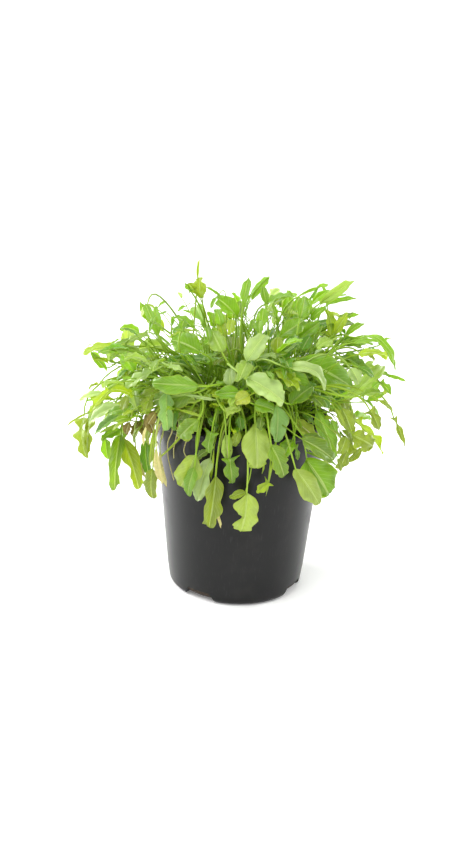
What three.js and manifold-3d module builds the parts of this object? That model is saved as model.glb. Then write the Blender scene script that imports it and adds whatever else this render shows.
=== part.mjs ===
// Potted sheep sorrel: a black nursery pot filled with soil, and a bush of stalked leaves that
// grows from crowns in the soil, arches over the rim and hangs down the wall.
// Millimetres, +Z up. The origin is the middle of the pot's flat underside, and +Y points away
// from the side that the bush is looked at from.
import * as THREE from "three";
import { mergeVertices } from "three/addons/utils/BufferGeometryUtils.js";
import Module from "manifold-3d";

const wasm = await Module();
wasm.setup();

// Driving dimensions of the pot
const POT_HEIGHT = 176;
const RIM_RADIUS = 83.6;
const BASE_RADIUS = 67.2;
const EDGE_RADIUS = 7;
const WALL = 1.4;
const FLOOR = 2;
const LIP_PROUD = 1;
const LIP_DEEP = 6;
const POT_SIDES = 40;

// The four drain notches, in pairs on either side of the mould's seam
const SEAM_DEG = 15.5;
const NOTCH_FROM_SEAM_DEG = 47;
const NOTCH_HEIGHT = 11;
const NOTCH_FOOT = 39;
const NOTCH_ROOF = 24;
const NOTCH_INNER_RADIUS = 52;
const DRAIN = { across: 12, radial: 7 };

// Soil and the crowns that stand in it
const GAP = 0.3;
const SOIL_BELOW_RIM = 15;
const SOIL_DOME = 5;
const SOIL_SIDES = 20;
const CROWN_COUNT = 34;
const CROWN_SPREAD = 62;
const CROWN_RADIUS = 2.6;
const CROWN_DEEP = 7;
const CROWN_PROUD = 4;
const ROOT_SUNK = 2.5;
const CROWN_SIDES = 5;

// Leaves: a blade 0.7 mm thick on a three-sided stalk
const BLADE_THICK = 0.7;
const STALK_ROOT_RADIUS = 1.2;
const STALK_TIP_RADIUS = 0.8;
const STALK_STEPS = { upright: 3, overRim: 4 };
const CLEARANCE = 0.35;
const GOLDEN_DEG = 137.50776;

// The bush is an egg-shaped dome over the pot
const DOME = { centre: 178, across: 166, up: 146 };
const HANG_CLEAR = 6;

// The side that the bush is drawn from: the eye's height angle and distance, and the point of
// the pot's axis that the distances right and up in LEAVES are measured from
const EYE_ELEVATION_DEG = 21.6;
const EYE_DISTANCE = 984;
const EYE_LEAN_DEG = 2.4;
const EYE_AIM_HEIGHT = 88.6;

const rad = THREE.MathUtils.degToRad;
const vec = (x, y, z) => new THREE.Vector3(x, y, z);

// A repeatable draw from 0 to 1 for each trio of whole numbers
function draw(a, b, c) {
  const s = Math.sin(a * 12.9898 + b * 78.233 + c * 37.719) * 43758.5453;
  return s - Math.floor(s);
}

// A closed geometry as a solid, with its shared vertices merged
function solidOf(geometry) {
  const bare = geometry.clone();
  bare.deleteAttribute("normal");
  bare.deleteAttribute("uv");
  const merged = mergeVertices(bare, 1e-3);
  const index = merged.index.array;
  const kept = [];
  for (let i = 0; i < index.length; i += 3) {
    const [a, b, c] = [index[i], index[i + 1], index[i + 2]];
    if (a !== b && b !== c && a !== c) kept.push(a, b, c);
  }
  return solidFrom(merged.attributes.position.array, kept);
}

function solidFrom(positions, triangles) {
  const mesh = new wasm.Mesh({
    numProp: 3,
    vertProperties: new Float32Array(positions),
    triVerts: new Uint32Array(triangles),
  });
  return new wasm.Manifold(mesh);
}

// A solid as a named mesh of the part
function meshOf(name, solid, material) {
  const made = solid.getMesh();
  const geometry = new THREE.BufferGeometry();
  geometry.setAttribute("position", new THREE.BufferAttribute(made.vertProperties, 3));
  geometry.setIndex(new THREE.BufferAttribute(made.triVerts, 1));
  geometry.computeVertexNormals();
  const mesh = new THREE.Mesh(geometry, material);
  mesh.name = name;
  return mesh;
}

// A profile of [radius, height] pairs turned round the Z axis
function turned(profile, sides) {
  const points = profile.map(([r, z]) => new THREE.Vector2(r, z));
  return new THREE.LatheGeometry(points, sides).rotateX(Math.PI / 2);
}

const wallRadius = (z) => BASE_RADIUS + ((RIM_RADIUS - BASE_RADIUS) * z) / POT_HEIGHT;

// Pot
function potOutline() {
  const outer = [[0, 0]];
  for (const deg of [0, 45, 90]) {
    const a = rad(deg);
    outer.push([
      wallRadius(0) - EDGE_RADIUS + EDGE_RADIUS * Math.sin(a),
      EDGE_RADIUS - EDGE_RADIUS * Math.cos(a),
    ]);
  }
  const lipFoot = POT_HEIGHT - LIP_DEEP;
  outer.push([wallRadius(lipFoot), lipFoot]);
  outer.push([wallRadius(lipFoot) + LIP_PROUD, lipFoot + LIP_PROUD]);
  outer.push([RIM_RADIUS + LIP_PROUD, POT_HEIGHT - 1]);
  outer.push([RIM_RADIUS, POT_HEIGHT]);
  return outer;
}

function potCavity() {
  return [
    [RIM_RADIUS - WALL, POT_HEIGHT],
    [wallRadius(EDGE_RADIUS) - WALL, EDGE_RADIUS],
    [wallRadius(0) - EDGE_RADIUS, FLOOR],
    [0, FLOOR],
  ];
}

const notchTurns = [0, 180].flatMap((half) =>
  [-1, 1].map((side) => SEAM_DEG + half + side * NOTCH_FROM_SEAM_DEG),
);

// A notch's trapezoid, run outwards along the radius, grown by a margin on every side
function notchSolid(turn, margin) {
  const foot = NOTCH_FOOT / 2 + margin;
  const roof = NOTCH_ROOF / 2 + margin;
  const outline = new THREE.Shape([
    new THREE.Vector2(-foot, -1),
    new THREE.Vector2(foot, -1),
    new THREE.Vector2(roof, NOTCH_HEIGHT + margin),
    new THREE.Vector2(-roof, NOTCH_HEIGHT + margin),
  ]);
  const depth = BASE_RADIUS + 20 - NOTCH_INNER_RADIUS;
  const prism = new THREE.ExtrudeGeometry(outline, { depth: depth + margin, bevelEnabled: false });
  prism.rotateX(Math.PI / 2).translate(0, -NOTCH_INNER_RADIUS + margin, 0);
  return solidOf(prism.rotateZ(rad(turn)));
}

function drainSolid(turn) {
  const hole = new THREE.BoxGeometry(DRAIN.across, DRAIN.radial, 6);
  hole.translate(0, -(NOTCH_INNER_RADIUS + DRAIN.radial / 2 + 1), NOTCH_HEIGHT + 1);
  return solidOf(hole.rotateZ(rad(turn)));
}

function makePot() {
  const whole = solidOf(turned([...potOutline(), [0, POT_HEIGHT]], POT_SIDES));
  let pot = solidOf(turned([...potOutline(), ...potCavity()], POT_SIDES));
  for (const turn of notchTurns) {
    pot = pot.add(notchSolid(turn, WALL).intersect(whole));
  }
  for (const turn of notchTurns) {
    pot = pot.subtract(notchSolid(turn, 0)).subtract(drainSolid(turn));
  }
  return pot;
}

// Soil
const soilTop = POT_HEIGHT - SOIL_BELOW_RIM;

function soilHeight(x, y) {
  const r = Math.hypot(x, y) / RIM_RADIUS;
  const lumps = Math.sin(x * 0.13 + 1) * Math.sin(y * 0.17 + 2) + 0.6 * Math.sin(x * 0.31 - y * 0.27);
  return soilTop + SOIL_DOME * (1 - r * r) + lumps;
}

const crownSpots = Array.from({ length: CROWN_COUNT }, (_, k) => {
  const r = CROWN_SPREAD * Math.sqrt((k + 0.6) / CROWN_COUNT);
  const a = rad(k * GOLDEN_DEG);
  const [x, y] = [r * Math.cos(a), r * Math.sin(a)];
  return vec(x, y, soilHeight(x, y));
});

function crownPeg(spot, radius, bottom, top) {
  const peg = new THREE.CylinderGeometry(radius, radius, top - bottom, CROWN_SIDES);
  peg.rotateX(Math.PI / 2).translate(spot.x, spot.y, (top + bottom) / 2);
  return solidOf(peg);
}

function makeSoil() {
  const inner = (z) => wallRadius(z) - WALL - GAP;
  const edge = soilTop - 4;
  const profile = [
    [0, FLOOR + GAP],
    [wallRadius(0) - EDGE_RADIUS - 1, FLOOR + GAP],
    [inner(EDGE_RADIUS + 1), EDGE_RADIUS + 1],
    [inner(edge), edge],
    ...[0.86, 0.58, 0.3].map((share) => [inner(edge) * share, edge + 1]),
    [0, edge + 1],
  ];
  const lump = turned(profile, SOIL_SIDES);
  const place = lump.attributes.position;
  for (let i = 0; i < place.count; i++) {
    if (place.getZ(i) > edge + 0.5) place.setZ(i, soilHeight(place.getX(i), place.getY(i)));
  }
  let soil = solidOf(lump);
  for (const turn of notchTurns) soil = soil.subtract(notchSolid(turn, WALL + GAP));
  for (const spot of crownSpots) {
    soil = soil.subtract(crownPeg(spot, CROWN_RADIUS + GAP, spot.z - CROWN_DEEP, spot.z + 20));
  }
  return soil;
}

// Leaf outlines: [along, across] of each edge point, from the stalk to just before the tip, with
// along as a share of the midrib and across as a share of the half width
const OUTLINES = {
  spear: {
    edge: [[0, 0.09], [-0.06, 1], [0.17, 0.42], [0.46, 0.8], [0.76, 0.52]],
    mid: [0, 0.07, 0.2, 0.46, 0.76],
  },
  oval: {
    edge: [[0, 0.1], [0.1, 0.58], [0.3, 0.96], [0.58, 1], [0.84, 0.6]],
    mid: [0, 0.12, 0.32, 0.58, 0.84],
  },
  wavy: {
    edge: [[0, 0.1], [0.12, 0.72], [0.28, 0.95], [0.44, 0.66], [0.62, 1], [0.86, 0.55]],
    mid: [0, 0.12, 0.28, 0.44, 0.62, 0.86],
  },
  cut: {
    edge: [[0, 0.1], [0.08, 0.9], [0.27, 0.34], [0.46, 1], [0.62, 0.4], [0.8, 0.62]],
    mid: [0, 0.1, 0.27, 0.46, 0.62, 0.8],
  },
  strap: { edge: [[0, 0.3], [0.34, 0.94], [0.76, 0.86]], mid: [0, 0.34, 0.76] },
  egg: { edge: [[0, 0.1], [0.16, 0.78], [0.5, 1], [0.82, 0.62]], mid: [0, 0.16, 0.5, 0.82] },
  arrow: { edge: [[0, 0.09], [-0.06, 1], [0.17, 0.42], [0.6, 0.74]], mid: [0, 0.07, 0.2, 0.6] },
};

// Where each leaf is seen, in millimetres to the right of the pot's axis and up from the aim
// point: [outline, stalk end right, up, tip right, up, width, place, bow]. A place from 0 to 1 is
// a share of the dome, and HANG is just outside the pot's wall. Bow is given for an arched leaf.
const HANG = "hang";
const LEAVES = [
  // hanging over the front rim
  ["oval", 17, 72, 19, 28, 25, HANG],
  ["wavy", 9, 3, 3, -35, 24, HANG],
  ["oval", -42, 41, -57, 10, 22, HANG],
  ["oval", -27, 38, -40, -5, 18, HANG],
  ["wavy", -22, 20, -29, -31, 17, HANG],
  ["spear", -9, 38, -6, 13, 19, HANG],
  ["arrow", -26, 64, -29, 43, 17, HANG],
  ["arrow", 31, 14, 19, 3, 12, HANG],
  ["oval", 57, 27, 81, -8, 19, HANG],
  ["oval", 68, 37, 91, 2, 31, HANG],
  ["egg", 55, 56, 46, 40, 14, HANG],
  ["wavy", 33, 51, 46, 20, 17, HANG],
  ["egg", -43, 29, -50, 1, 13, HANG],
  ["arrow", 57, 50, 60, 36, 8, HANG],
  // leaves that others lie behind
  ["oval", -39, 110, -86, 113, 16, 0.8],
  ["oval", 61, 136, 113, 109, 27, 0.86],
  ["arrow", -68, 130, -55, 125, 8, 0.84],
  ["oval", 45, 129, 87, 104, 13, 0.94, 0.34],
  ["oval", -38, 144, -66, 156, 22, 0.84],
  ["oval", 102, 139, 134, 116, 19, 0.84],
  ["egg", 2, 104, -22, 102, 12, 0.64],
  ["arrow", -48, 84, -57, 64, 14, 0.66],
  // over the front rim, standing higher
  ["oval", 39, 90, 38, 54, 18, 0.62],
  ["oval", 78, 86, 96, 37, 15, 0.7],
  ["egg", 64, 60, 90, 44, 13, 0.7],
  ["cut", 104, 96, 113, 58, 16, 0.78],
  ["cut", 113, 66, 101, 27, 19, 0.78],
  ["wavy", 114, 61, 135, 50, 19, 0.82],
  ["arrow", -12, 84, 3, 88, 14, 0.6],
  ["egg", 16, 92, 36, 86, 13, 0.66],
  ["egg", 12, 101, -3, 94, 13, 0.72],
  ["wavy", 9, 118, 46, 94, 22, 0.72],
  ["egg", 52, 91, 75, 110, 15, 0.7],
  ["strap", 50, 77, 58, 84, 7, 0.6],
  ["egg", 108, 103, 82, 98, 12, 0.76],
  ["egg", 104, 97, 92, 84, 10, 0.7],
  ["egg", 62, 84, 76, 72, 10, 0.56],
  // behind those, low over the rim
  ["oval", -44, 103, -84, 96, 20, 0.74],
  ["egg", -38, 90, -58, 70, 18, 0.6],
  ["wavy", -40, 76, -58, 60, 16, 0.64],
  ["egg", 8, 64, -8, 56, 10, 0.5],
  ["egg", -63, 97, -65, 66, 11, 0.66],
  // left side, hanging
  ["cut", -154, 79, -151, 38, 18, 0.96],
  ["strap", -146, 85, -174, 68, 3, 1],
  ["oval", -117, 90, -149, 70, 15, 0.88],
  ["oval", -111, 83, -143, 61, 13, 0.8],
  ["arrow", -107, 89, -122, 98, 10, 0.84],
  ["egg", -132, 57, -130, 37, 10, 0.9],
  ["egg", -117, 67, -137, 56, 11, 0.84],
  ["wavy", -117, 62, -123, 6, 15, 0.84],
  ["oval", -115, 58, -99, 7, 17, 0.8],
  ["egg", -85, 28, -85, -2, 15, 0.74],
  ["egg", -92, 56, -89, 20, 12, 0.72],
  ["arrow", -139, 112, -149, 107, 9, 0.96],
  ["egg", -136, 104, -159, 96, 8, 0.98],
  ["egg", -137, 93, -150, 82, 9, 0.94],
  ["wavy", -71, 104, -70, 66, 14, 0.72],
  ["egg", -74, 103, -99, 96, 13, 0.84],
  ["egg", -41, 94, -62, 90, 11, 0.7],
  ["egg", -97, 91, -114, 74, 12, 0.82],
  ["egg", -104, 106, -101, 86, 10, 0.84],
  ["egg", -110, 72, -121, 44, 14, 0.82],
  ["egg", -84, 76, -90, 52, 10, 0.7],
  // left side, standing out
  ["wavy", -85, 125, -112, 108, 13, 0.88],
  ["arrow", -114, 122, -133, 104, 9, 0.92],
  ["oval", -118, 148, -155, 142, 14, 0.98],
  ["strap", -128, 135, -126, 151, 9, 0.94],
  ["strap", -131, 125, -146, 146, 5, 0.98],
  ["oval", -108, 142, -110, 171, 14, 0.94],
  ["egg", -104, 125, -116, 143, 13, 0.86],
  ["oval", -70, 151, -100, 147, 18, 0.88],
  ["egg", -16, 144, -26, 165, 16, 0.74],
  ["arrow", -9, 144, -25, 130, 12, 0.66],
  ["egg", -7, 110, -7, 128, 12, 0.66],
  ["egg", -82, 142, -98, 129, 13, 0.86],
  ["egg", -42, 134, -64, 137, 12, 0.74],
  // top left
  ["strap", -80, 162, -93, 193, 9, 0.96],
  ["egg", -79, 161, -82, 190, 8, 0.94],
  ["strap", -90, 192, -96, 178, 5, 0.96],
  ["strap", -79, 190, -71, 195, 4, 0.98],
  ["strap", -66, 171, -64, 181, 4, 0.92],
  ["arrow", -57, 165, -53, 177, 11, 0.9],
  ["arrow", -34, 170, -36, 181, 8, 0.88],
  ["strap", -43, 181, -56, 186, 3, 0.93],
  ["arrow", -47, 205, -53, 213, 7, 0.97],
  ["oval", -36, 198, -38, 219, 15, 0.98],
  ["strap", -40, 217, -38, 238, 3, 0.98],
  ["oval", -1, 179, -22, 199, 18, 0.92],
  ["egg", 1, 184, -6, 203, 13, 0.93],
  ["strap", -15, 198, -33, 210, 4, 0.96],
  ["egg", -17, 170, -22, 187, 10, 0.9],
  // top
  ["strap", 5, 189, 11, 219, 9, 0.97],
  ["strap", 13, 202, 32, 220, 8, 0.97],
  ["egg", 28, 192, 25, 209, 8, 0.94],
  ["egg", 30, 193, 56, 200, 15, 0.92],
  ["arrow", 39, 174, 34, 193, 10, 0.86],
  ["egg", 47, 178, 50, 206, 14, 0.92],
  ["egg", 62, 178, 67, 200, 14, 0.9],
  ["egg", 24, 170, 26, 188, 11, 0.88],
  ["strap", 61, 200, 83, 209, 4, 0.97],
  ["egg", 60, 161, 45, 178, 18, 0.84],
  ["egg", 62, 159, 82, 174, 14, 0.84],
  ["strap", 82, 193, 117, 216, 10, 0.98],
  ["strap", 88, 191, 119, 198, 6, 0.95],
  ["strap", 89, 188, 83, 212, 5, 0.93],
  ["egg", 93, 161, 89, 187, 11, 0.9],
  ["egg", 97, 162, 110, 183, 10, 0.96],
  ["arrow", 111, 179, 121, 182, 6, 0.98],
  ["egg", 94, 156, 79, 148, 12, 0.86],
  ["egg", 39, 142, 40, 159, 11, 0.72],
  ["egg", 9, 135, 28, 161, 17, 0.76],
  // right side
  ["strap", 106, 159, 127, 173, 8, 0.96],
  ["strap", 114, 156, 157, 125, 8, 1, 0.48],
  ["arrow", 141, 151, 154, 158, 7, 0.99],
  ["cut", 121, 144, 137, 136, 9, 0.96],
  ["strap", 148, 121, 169, 114, 4, 1],
  ["strap", 107, 98, 147, 131, 13, 0.94, 0.2],
  ["arrow", 142, 114, 153, 101, 13, 0.98],
  ["spear", 132, 86, 141, 66, 13, 0.96],
  ["strap", 140, 96, 155, 85, 5, 0.98],
  ["spear", 156, 78, 167, 49, 9, 1],
  ["egg", 124, 100, 143, 104, 10, 0.9],
  ["egg", 112, 128, 121, 112, 12, 0.88],
  ["egg", 96, 112, 118, 100, 12, 0.84],
  ["egg", 97, 92, 106, 72, 9, 0.8],
];

// Dead and straw-coloured leaves, in the same form
const DRY_LEAVES = [
  ["strap", -103, 47, -92, 17, 6, 0.74],
  ["egg", -108, 74, -112, 62, 8, 0.72],
  ["egg", -96, 78, -90, 57, 11, 0.66],
  ["strap", -23, -12, -17, -32, 3, HANG],
  ["egg", -12, 62, -10, 34, 10, HANG],
  ["oval", 56, 76, 79, 56, 13, 0.56],
  ["strap", -82, 47, -75, 12, 7, 0.72],
  ["egg", -82, 84, -90, 72, 9, 0.66],
];

const DRY_CROWNS = [20, 31];

// The rest of the bush, all round and inside it, is placed by rule
const FILL_COUNT = 19;
const NUDGE = 2.5;
const NUDGES = 9;
const SEEN_TRIES = 95;
const FILL_TRIES = 60;

// The most that a blade leans to or from the eye, as a share of half the length that is seen
const MOST_LEAN = 0.45;

// Leaves seen near the bush's outline, above the rim, stand on its far side as often as this
const FAR_EDGE = 0.72;
const FAR_UP = 110;
const FAR_SHARE = 0.5;
const OUTLINE_MIDDLE_UP = 60;
const OUTLINE_HALF_UP = DOME.up + 20;

// A stalk that passes over the rim: how far inside the rim its blade has to start to need it,
// how high above the rim it clears and crests, and how far outside it comes down
const OVER_RIM = { inside: 10, clear: 44, crest: 14, outside: 12 };

const eye = (() => {
  const e = rad(EYE_ELEVATION_DEG);
  const back = vec(0, -Math.cos(e), Math.sin(e));
  return {
    back,
    up: vec(0, Math.sin(e), Math.cos(e)),
    at: vec(0, 0, EYE_AIM_HEIGHT).addScaledVector(back, EYE_DISTANCE),
  };
})();

// The line of sight through a point that is seen so far right and up
function sightLine(right, up) {
  const lean = rad(EYE_LEAN_DEG);
  const x = right * Math.cos(lean) - up * Math.sin(lean);
  const y = right * Math.sin(lean) + up * Math.cos(lean);
  const way = vec(x, 0, 0).addScaledVector(eye.up, y).addScaledVector(eye.back, -EYE_DISTANCE);
  return way.normalize();
}

// The nearer (-1) or farther (1) crossing of a line of sight with a dome or a standing drum,
// scaled on its axes, or the point nearest to its middle where it passes by
function meet(way, centre, across, up, end = -1) {
  const scale = vec(1 / across, 1 / across, up ? 1 / up : 0);
  const from = eye.at.clone().sub(vec(0, 0, centre)).multiply(scale);
  const dir = way.clone().multiply(scale);
  const a = dir.dot(dir);
  const b = from.dot(dir);
  const c = from.dot(from) - 1;
  return (-b + end * Math.sqrt(Math.max(0, b * b - a * c))) / a;
}

function seenDistance(way, place, nudge, end) {
  const drum = RIM_RADIUS + HANG_CLEAR + Math.abs(nudge);
  if (place === HANG) return meet(way, 0, drum, 0);
  return meet(way, DOME.centre, DOME.across * place, DOME.up * place, end) + nudge;
}

// The two ends of a blade from where they are seen. A blade leans towards the eye or away from
// it by no more than a share of the length that is seen.
function seenEnds(row, nudge, deeper, end) {
  const [, r0, u0, r1, u1, , given] = row;
  const place = given === HANG ? HANG : given * deeper;
  const [toBase, toTip] = [sightLine(r0, u0), sightLine(r1, u1)];
  const [first, last] = [toBase, toTip].map((way) => seenDistance(way, place, nudge, end));
  const middle = (first + last) / 2;
  const most = (MOST_LEAN * Math.hypot(r1 - r0, u1 - u0)) / 2;
  const lean = THREE.MathUtils.clamp((last - first) / 2, -most, most);
  return [
    eye.at.clone().addScaledVector(toBase, middle - lean),
    eye.at.clone().addScaledVector(toTip, middle + lean),
  ];
}

// What a leaf is like at one try. Each later try of a seen leaf slides it a little along the line
// of sight, and each later try of a placed leaf draws it afresh.
function seenLeaf(row, index, attempt, dry = false) {
  const [kind, , , , , width, , bow] = row;
  const turn = attempt % (2 * NUDGES + 1);
  const nudge = NUDGE * Math.ceil(turn / 2) * (turn % 2 ? -1 : 1);
  const outlineUp = (row[4] - OUTLINE_MIDDLE_UP) / OUTLINE_HALF_UP;
  const edge = Math.min(1, Math.hypot(row[3] / DOME.across, outlineUp));
  const deeper = 1 - (0.12 + 0.4 * edge * edge) * draw(index, attempt, 20);
  const end = edge > FAR_EDGE && row[2] > FAR_UP && draw(index, 0, 21) < FAR_SHARE ? 1 : -1;
  const [base, tip] = seenEnds(row, nudge, deeper, end);
  const face = eye.back.clone().multiplyScalar(0.8).add(vec(0, 0, 0.5)).add(outwards(base, 0.3));
  return finish({ kind, base, tip, width, face, bow, dry, index, attempt });
}

function placedLeaf(index, attempt) {
  const kinds = ["arrow", "egg", "egg", "arrow", "strap"];
  const kind = kinds[Math.floor(draw(index, attempt, 2) * kinds.length)];
  const turn = rad(90 + (draw(index, attempt, 3) - 0.5) * 230);
  const rise = Math.asin(-0.45 + 1.05 * draw(index, attempt, 4));
  const place = 0.6 + 0.38 * draw(index, attempt, 5);
  const length = kind === "strap" ? 40 : 34 + 18 * draw(index, attempt, 6);
  const dome = (t, e, share) =>
    vec(
      DOME.across * share * Math.cos(e) * Math.cos(t),
      DOME.across * share * Math.cos(e) * Math.sin(t),
      DOME.centre + DOME.up * share * Math.sin(e),
    );
  const tip = dome(turn, rise, place);
  const way = outwards(tip, 0.8).add(vec(0, 0, Math.sin(rise) - 0.35));
  way.x += 0.7 * (draw(index, attempt, 7) - 0.5);
  way.y += 0.7 * (draw(index, attempt, 8) - 0.5);
  const base = tip.clone().addScaledVector(way.normalize(), -length);
  const width = length * (kind === "strap" ? 0.2 : 0.36 + 0.14 * draw(index, attempt, 9));
  const face = outwards(base, 0.55).add(vec(0, 0, 0.85));
  return finish({ kind, base, tip, width, face, index, attempt });
}

// The crown that a leaf grows from: the one nearest to a point a share of the way out to it,
// with those that already bear leaves counted as further away
const CROWN_LOAD = 10;
const grown = crownSpots.map(() => 0);

function crownFor({ base, dry, index, attempt }) {
  const share = 0.12 + 0.5 * draw(index, attempt, 17);
  const turn = 1.4 * (draw(index, attempt, 18) - 0.5);
  const aim = base.clone().applyAxisAngle(vec(0, 0, 1), turn).multiplyScalar(share);
  let best = -1;
  let least = Infinity;
  crownSpots.forEach((spot, k) => {
    const away = Math.hypot(spot.x - aim.x, spot.y - aim.y) + CROWN_LOAD * grown[k];
    if (DRY_CROWNS.includes(k) === Boolean(dry) && away < least) [best, least] = [k, away];
  });
  return best;
}

const outwards = (point, size) => vec(point.x, point.y, 0).normalize().multiplyScalar(size);

// The stalk's curve and the small differences between leaves
function finish(leaf) {
  const { base, tip, index, attempt } = leaf;
  leaf.crown = crownFor(leaf);
  const root = crownSpots[leaf.crown].clone();
  const run = Math.hypot(base.x - root.x, base.y - root.y, base.z - root.z);
  const way = tip.clone().sub(base).normalize();
  const swing = 0.16 * run;
  leaf.root = root.setZ(root.z + CROWN_PROUD - ROOT_SUNK).add(outwards(base.clone().sub(root), 1.2));
  leaf.lift = root
    .clone()
    .add(outwards(vec(base.x - root.x, base.y - root.y, 0), 0.12 * run))
    .add(vec(swing * (draw(index, attempt, 10) - 0.5), swing * (draw(index, attempt, 11) - 0.5), 0))
    .add(vec(0, 0, (0.32 + 0.2 * draw(index, attempt, 19)) * run));
  leaf.lead = base.clone().addScaledVector(way, -0.28 * run);
  const overRim = Math.hypot(base.x, base.y) > RIM_RADIUS - OVER_RIM.inside;
  leaf.steps = overRim ? STALK_STEPS.overRim : STALK_STEPS.upright;
  if (overRim) {
    const clear = POT_HEIGHT + OVER_RIM.clear;
    leaf.lift.z = Math.max(leaf.lift.z, clear + OVER_RIM.crest);
    leaf.lead.z = Math.max(leaf.lead.z, clear);
    const reach = Math.hypot(leaf.lead.x, leaf.lead.y);
    const least = Math.min(Math.hypot(base.x, base.y), RIM_RADIUS + OVER_RIM.outside);
    if (reach < least) leaf.lead.add(outwards(leaf.lead, least - reach));
  }
  leaf.roll = rad(50 * (draw(index, attempt, 12) - 0.5));
  leaf.bow ??= 0.04 + 0.1 * draw(index, attempt, 13);
  leaf.fold = 0.1 + 0.35 * draw(index, attempt, 14);
  leaf.wave = 0.05 + 0.13 * draw(index, attempt, 15);
  leaf.phase = 6.28 * draw(index, attempt, 16);
  return leaf;
}

const bezier = (p, q, r, s, t) => {
  const u = 1 - t;
  return p
    .clone()
    .multiplyScalar(u * u * u)
    .addScaledVector(q, 3 * u * u * t)
    .addScaledVector(r, 3 * u * t * t)
    .addScaledVector(s, t * t * t);
};

// A closed leaf as a solid: a three-sided stalk that opens into a blade of left, middle and
// right points, doubled by its thickness. extra thickens it all over, to keep others clear.
function leafSolid(leaf, extra = 0) {
  const { edge, mid } = OUTLINES[leaf.kind];
  const length = leaf.tip.distanceTo(leaf.base);
  const along = leaf.tip.clone().sub(leaf.base).normalize();
  const flat = leaf.face.clone().addScaledVector(along, -leaf.face.dot(along)).normalize();
  const normal = flat.applyAxisAngle(along, leaf.roll);
  const side = along.clone().cross(normal);
  const half = leaf.width / 2;
  const thick = (BLADE_THICK + extra) / 2;
  const points = [];
  const triangles = [];
  const put = (p) => points.push(p.x, p.y, p.z) / 3 - 1;
  const quad = (a, b, c, d) => triangles.push(a, b, c, a, c, d);
  const quadBack = (a, b, c, d) => triangles.push(a, b, d, b, c, d);

  // A point of the blade's middle surface
  const surface = (u, w, ripple) => {
    const arch = leaf.bow * length * 4 * u * (1 - u);
    const lift = arch + leaf.fold * half * Math.abs(w) + leaf.wave * half * ripple;
    return leaf.base
      .clone()
      .addScaledVector(along, u * length)
      .addScaledVector(side, w * half)
      .addScaledVector(normal, lift);
  };
  const both = (p) => [
    put(p.clone().addScaledVector(normal, thick)),
    put(p.clone().addScaledVector(normal, -thick)),
  ];

  // Stalk rings, from the root to the blade
  const centre = (t) => bezier(leaf.root, leaf.lift, leaf.lead, leaf.base, t);
  const sides = [];
  let carried = side.clone();
  for (let i = leaf.steps; i >= 0; i--) {
    const t = i / leaf.steps;
    const way = centre(Math.min(1, t + 0.02)).sub(centre(Math.max(0, t - 0.02))).normalize();
    carried = carried.clone().addScaledVector(way, -carried.dot(way)).normalize();
    sides[i] = { right: carried, down: carried.clone().cross(way).negate() };
  }
  let ring = null;
  for (let i = 0; i <= leaf.steps; i++) {
    const t = i / leaf.steps;
    const r = STALK_ROOT_RADIUS + (STALK_TIP_RADIUS - STALK_ROOT_RADIUS) * t + extra / 2;
    const c = centre(i === leaf.steps ? 0.985 : t);
    const { right, down } = sides[i];
    const next = [
      put(c.clone().addScaledVector(right, -r)),
      put(c.clone().addScaledVector(right, r)),
      put(c.clone().addScaledVector(down, 1.3 * r)),
    ];
    if (ring) {
      for (let k = 0; k < 3; k++) {
        const j = (k + 1) % 3;
        quad(ring[k], ring[j], next[j], next[k]);
      }
    } else {
      triangles.push(next[0], next[2], next[1]);
    }
    ring = next;
  }

  // Blade stations
  const spread = extra / 2 / half;
  const stations = edge.map(([u, w], i) => {
    const ripple = Math.sin(leaf.phase + 2.1 * i);
    const other = Math.sin(leaf.phase + 2 + 2.3 * i);
    const leftShare = w * (1 + 0.12 * other) + spread;
    const rightShare = w * (1 - 0.12 * other) + spread;
    return {
      left: both(surface(u - 0.02 * ripple * Math.sign(i), -leftShare, i ? ripple : 0)),
      mid: both(surface(mid[i], 0, 0)),
      right: both(surface(u + 0.02 * ripple * Math.sign(i), rightShare, i ? other : 0)),
    };
  });
  const tip = both(surface(1, 0, 0));
  const [L, R, K] = ring;
  const first = stations[0];
  const [[lt, lb], [mt, mb], [rt, rb]] = [first.left, first.mid, first.right];
  triangles.push(L, R, mt, L, mt, lt, R, rt, mt, R, rb, rt, R, K, rb);
  triangles.push(K, mb, rb, K, lb, mb, K, L, lb, L, lt, lb);
  for (let i = 0; i + 1 < stations.length; i++) {
    const [a, b] = [stations[i], stations[i + 1]];
    quad(a.left[0], a.mid[0], b.mid[0], b.left[0]);
    quadBack(a.mid[1], a.left[1], b.left[1], b.mid[1]);
    quad(a.mid[0], a.right[0], b.right[0], b.mid[0]);
    quadBack(a.right[1], a.mid[1], b.mid[1], b.right[1]);
    quad(a.right[0], a.right[1], b.right[1], b.right[0]);
    quad(a.left[1], a.left[0], b.left[0], b.left[1]);
  }
  const last = stations[stations.length - 1];
  triangles.push(last.left[0], last.mid[0], tip[0], last.mid[0], last.right[0], tip[0]);
  triangles.push(last.right[1], last.mid[1], tip[1], last.mid[1], last.left[1], tip[1]);
  quad(last.right[0], last.right[1], tip[1], tip[0]);
  quad(last.left[1], last.left[0], tip[0], tip[1]);
  return solidFrom(points, triangles);
}

// Bush: each leaf takes the first of its tries that is clear of the pot, the soil and every leaf
// of another crown, and then joins its own crown
const SAME_CROWN_CROSSING = 8;
const SLIVER = 0.06;

function boxesMeet(a, b) {
  return [0, 1, 2].every((i) => a.min[i] < b.max[i] && b.min[i] < a.max[i]);
}

function crossing(solid, others) {
  const box = solid.boundingBox();
  let most = 0;
  for (const other of others) {
    if (!boxesMeet(box, other.box)) continue;
    most = Math.max(most, solid.intersect(other.solid).volume());
    if (most > SAME_CROWN_CROSSING) break;
  }
  return most;
}

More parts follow.
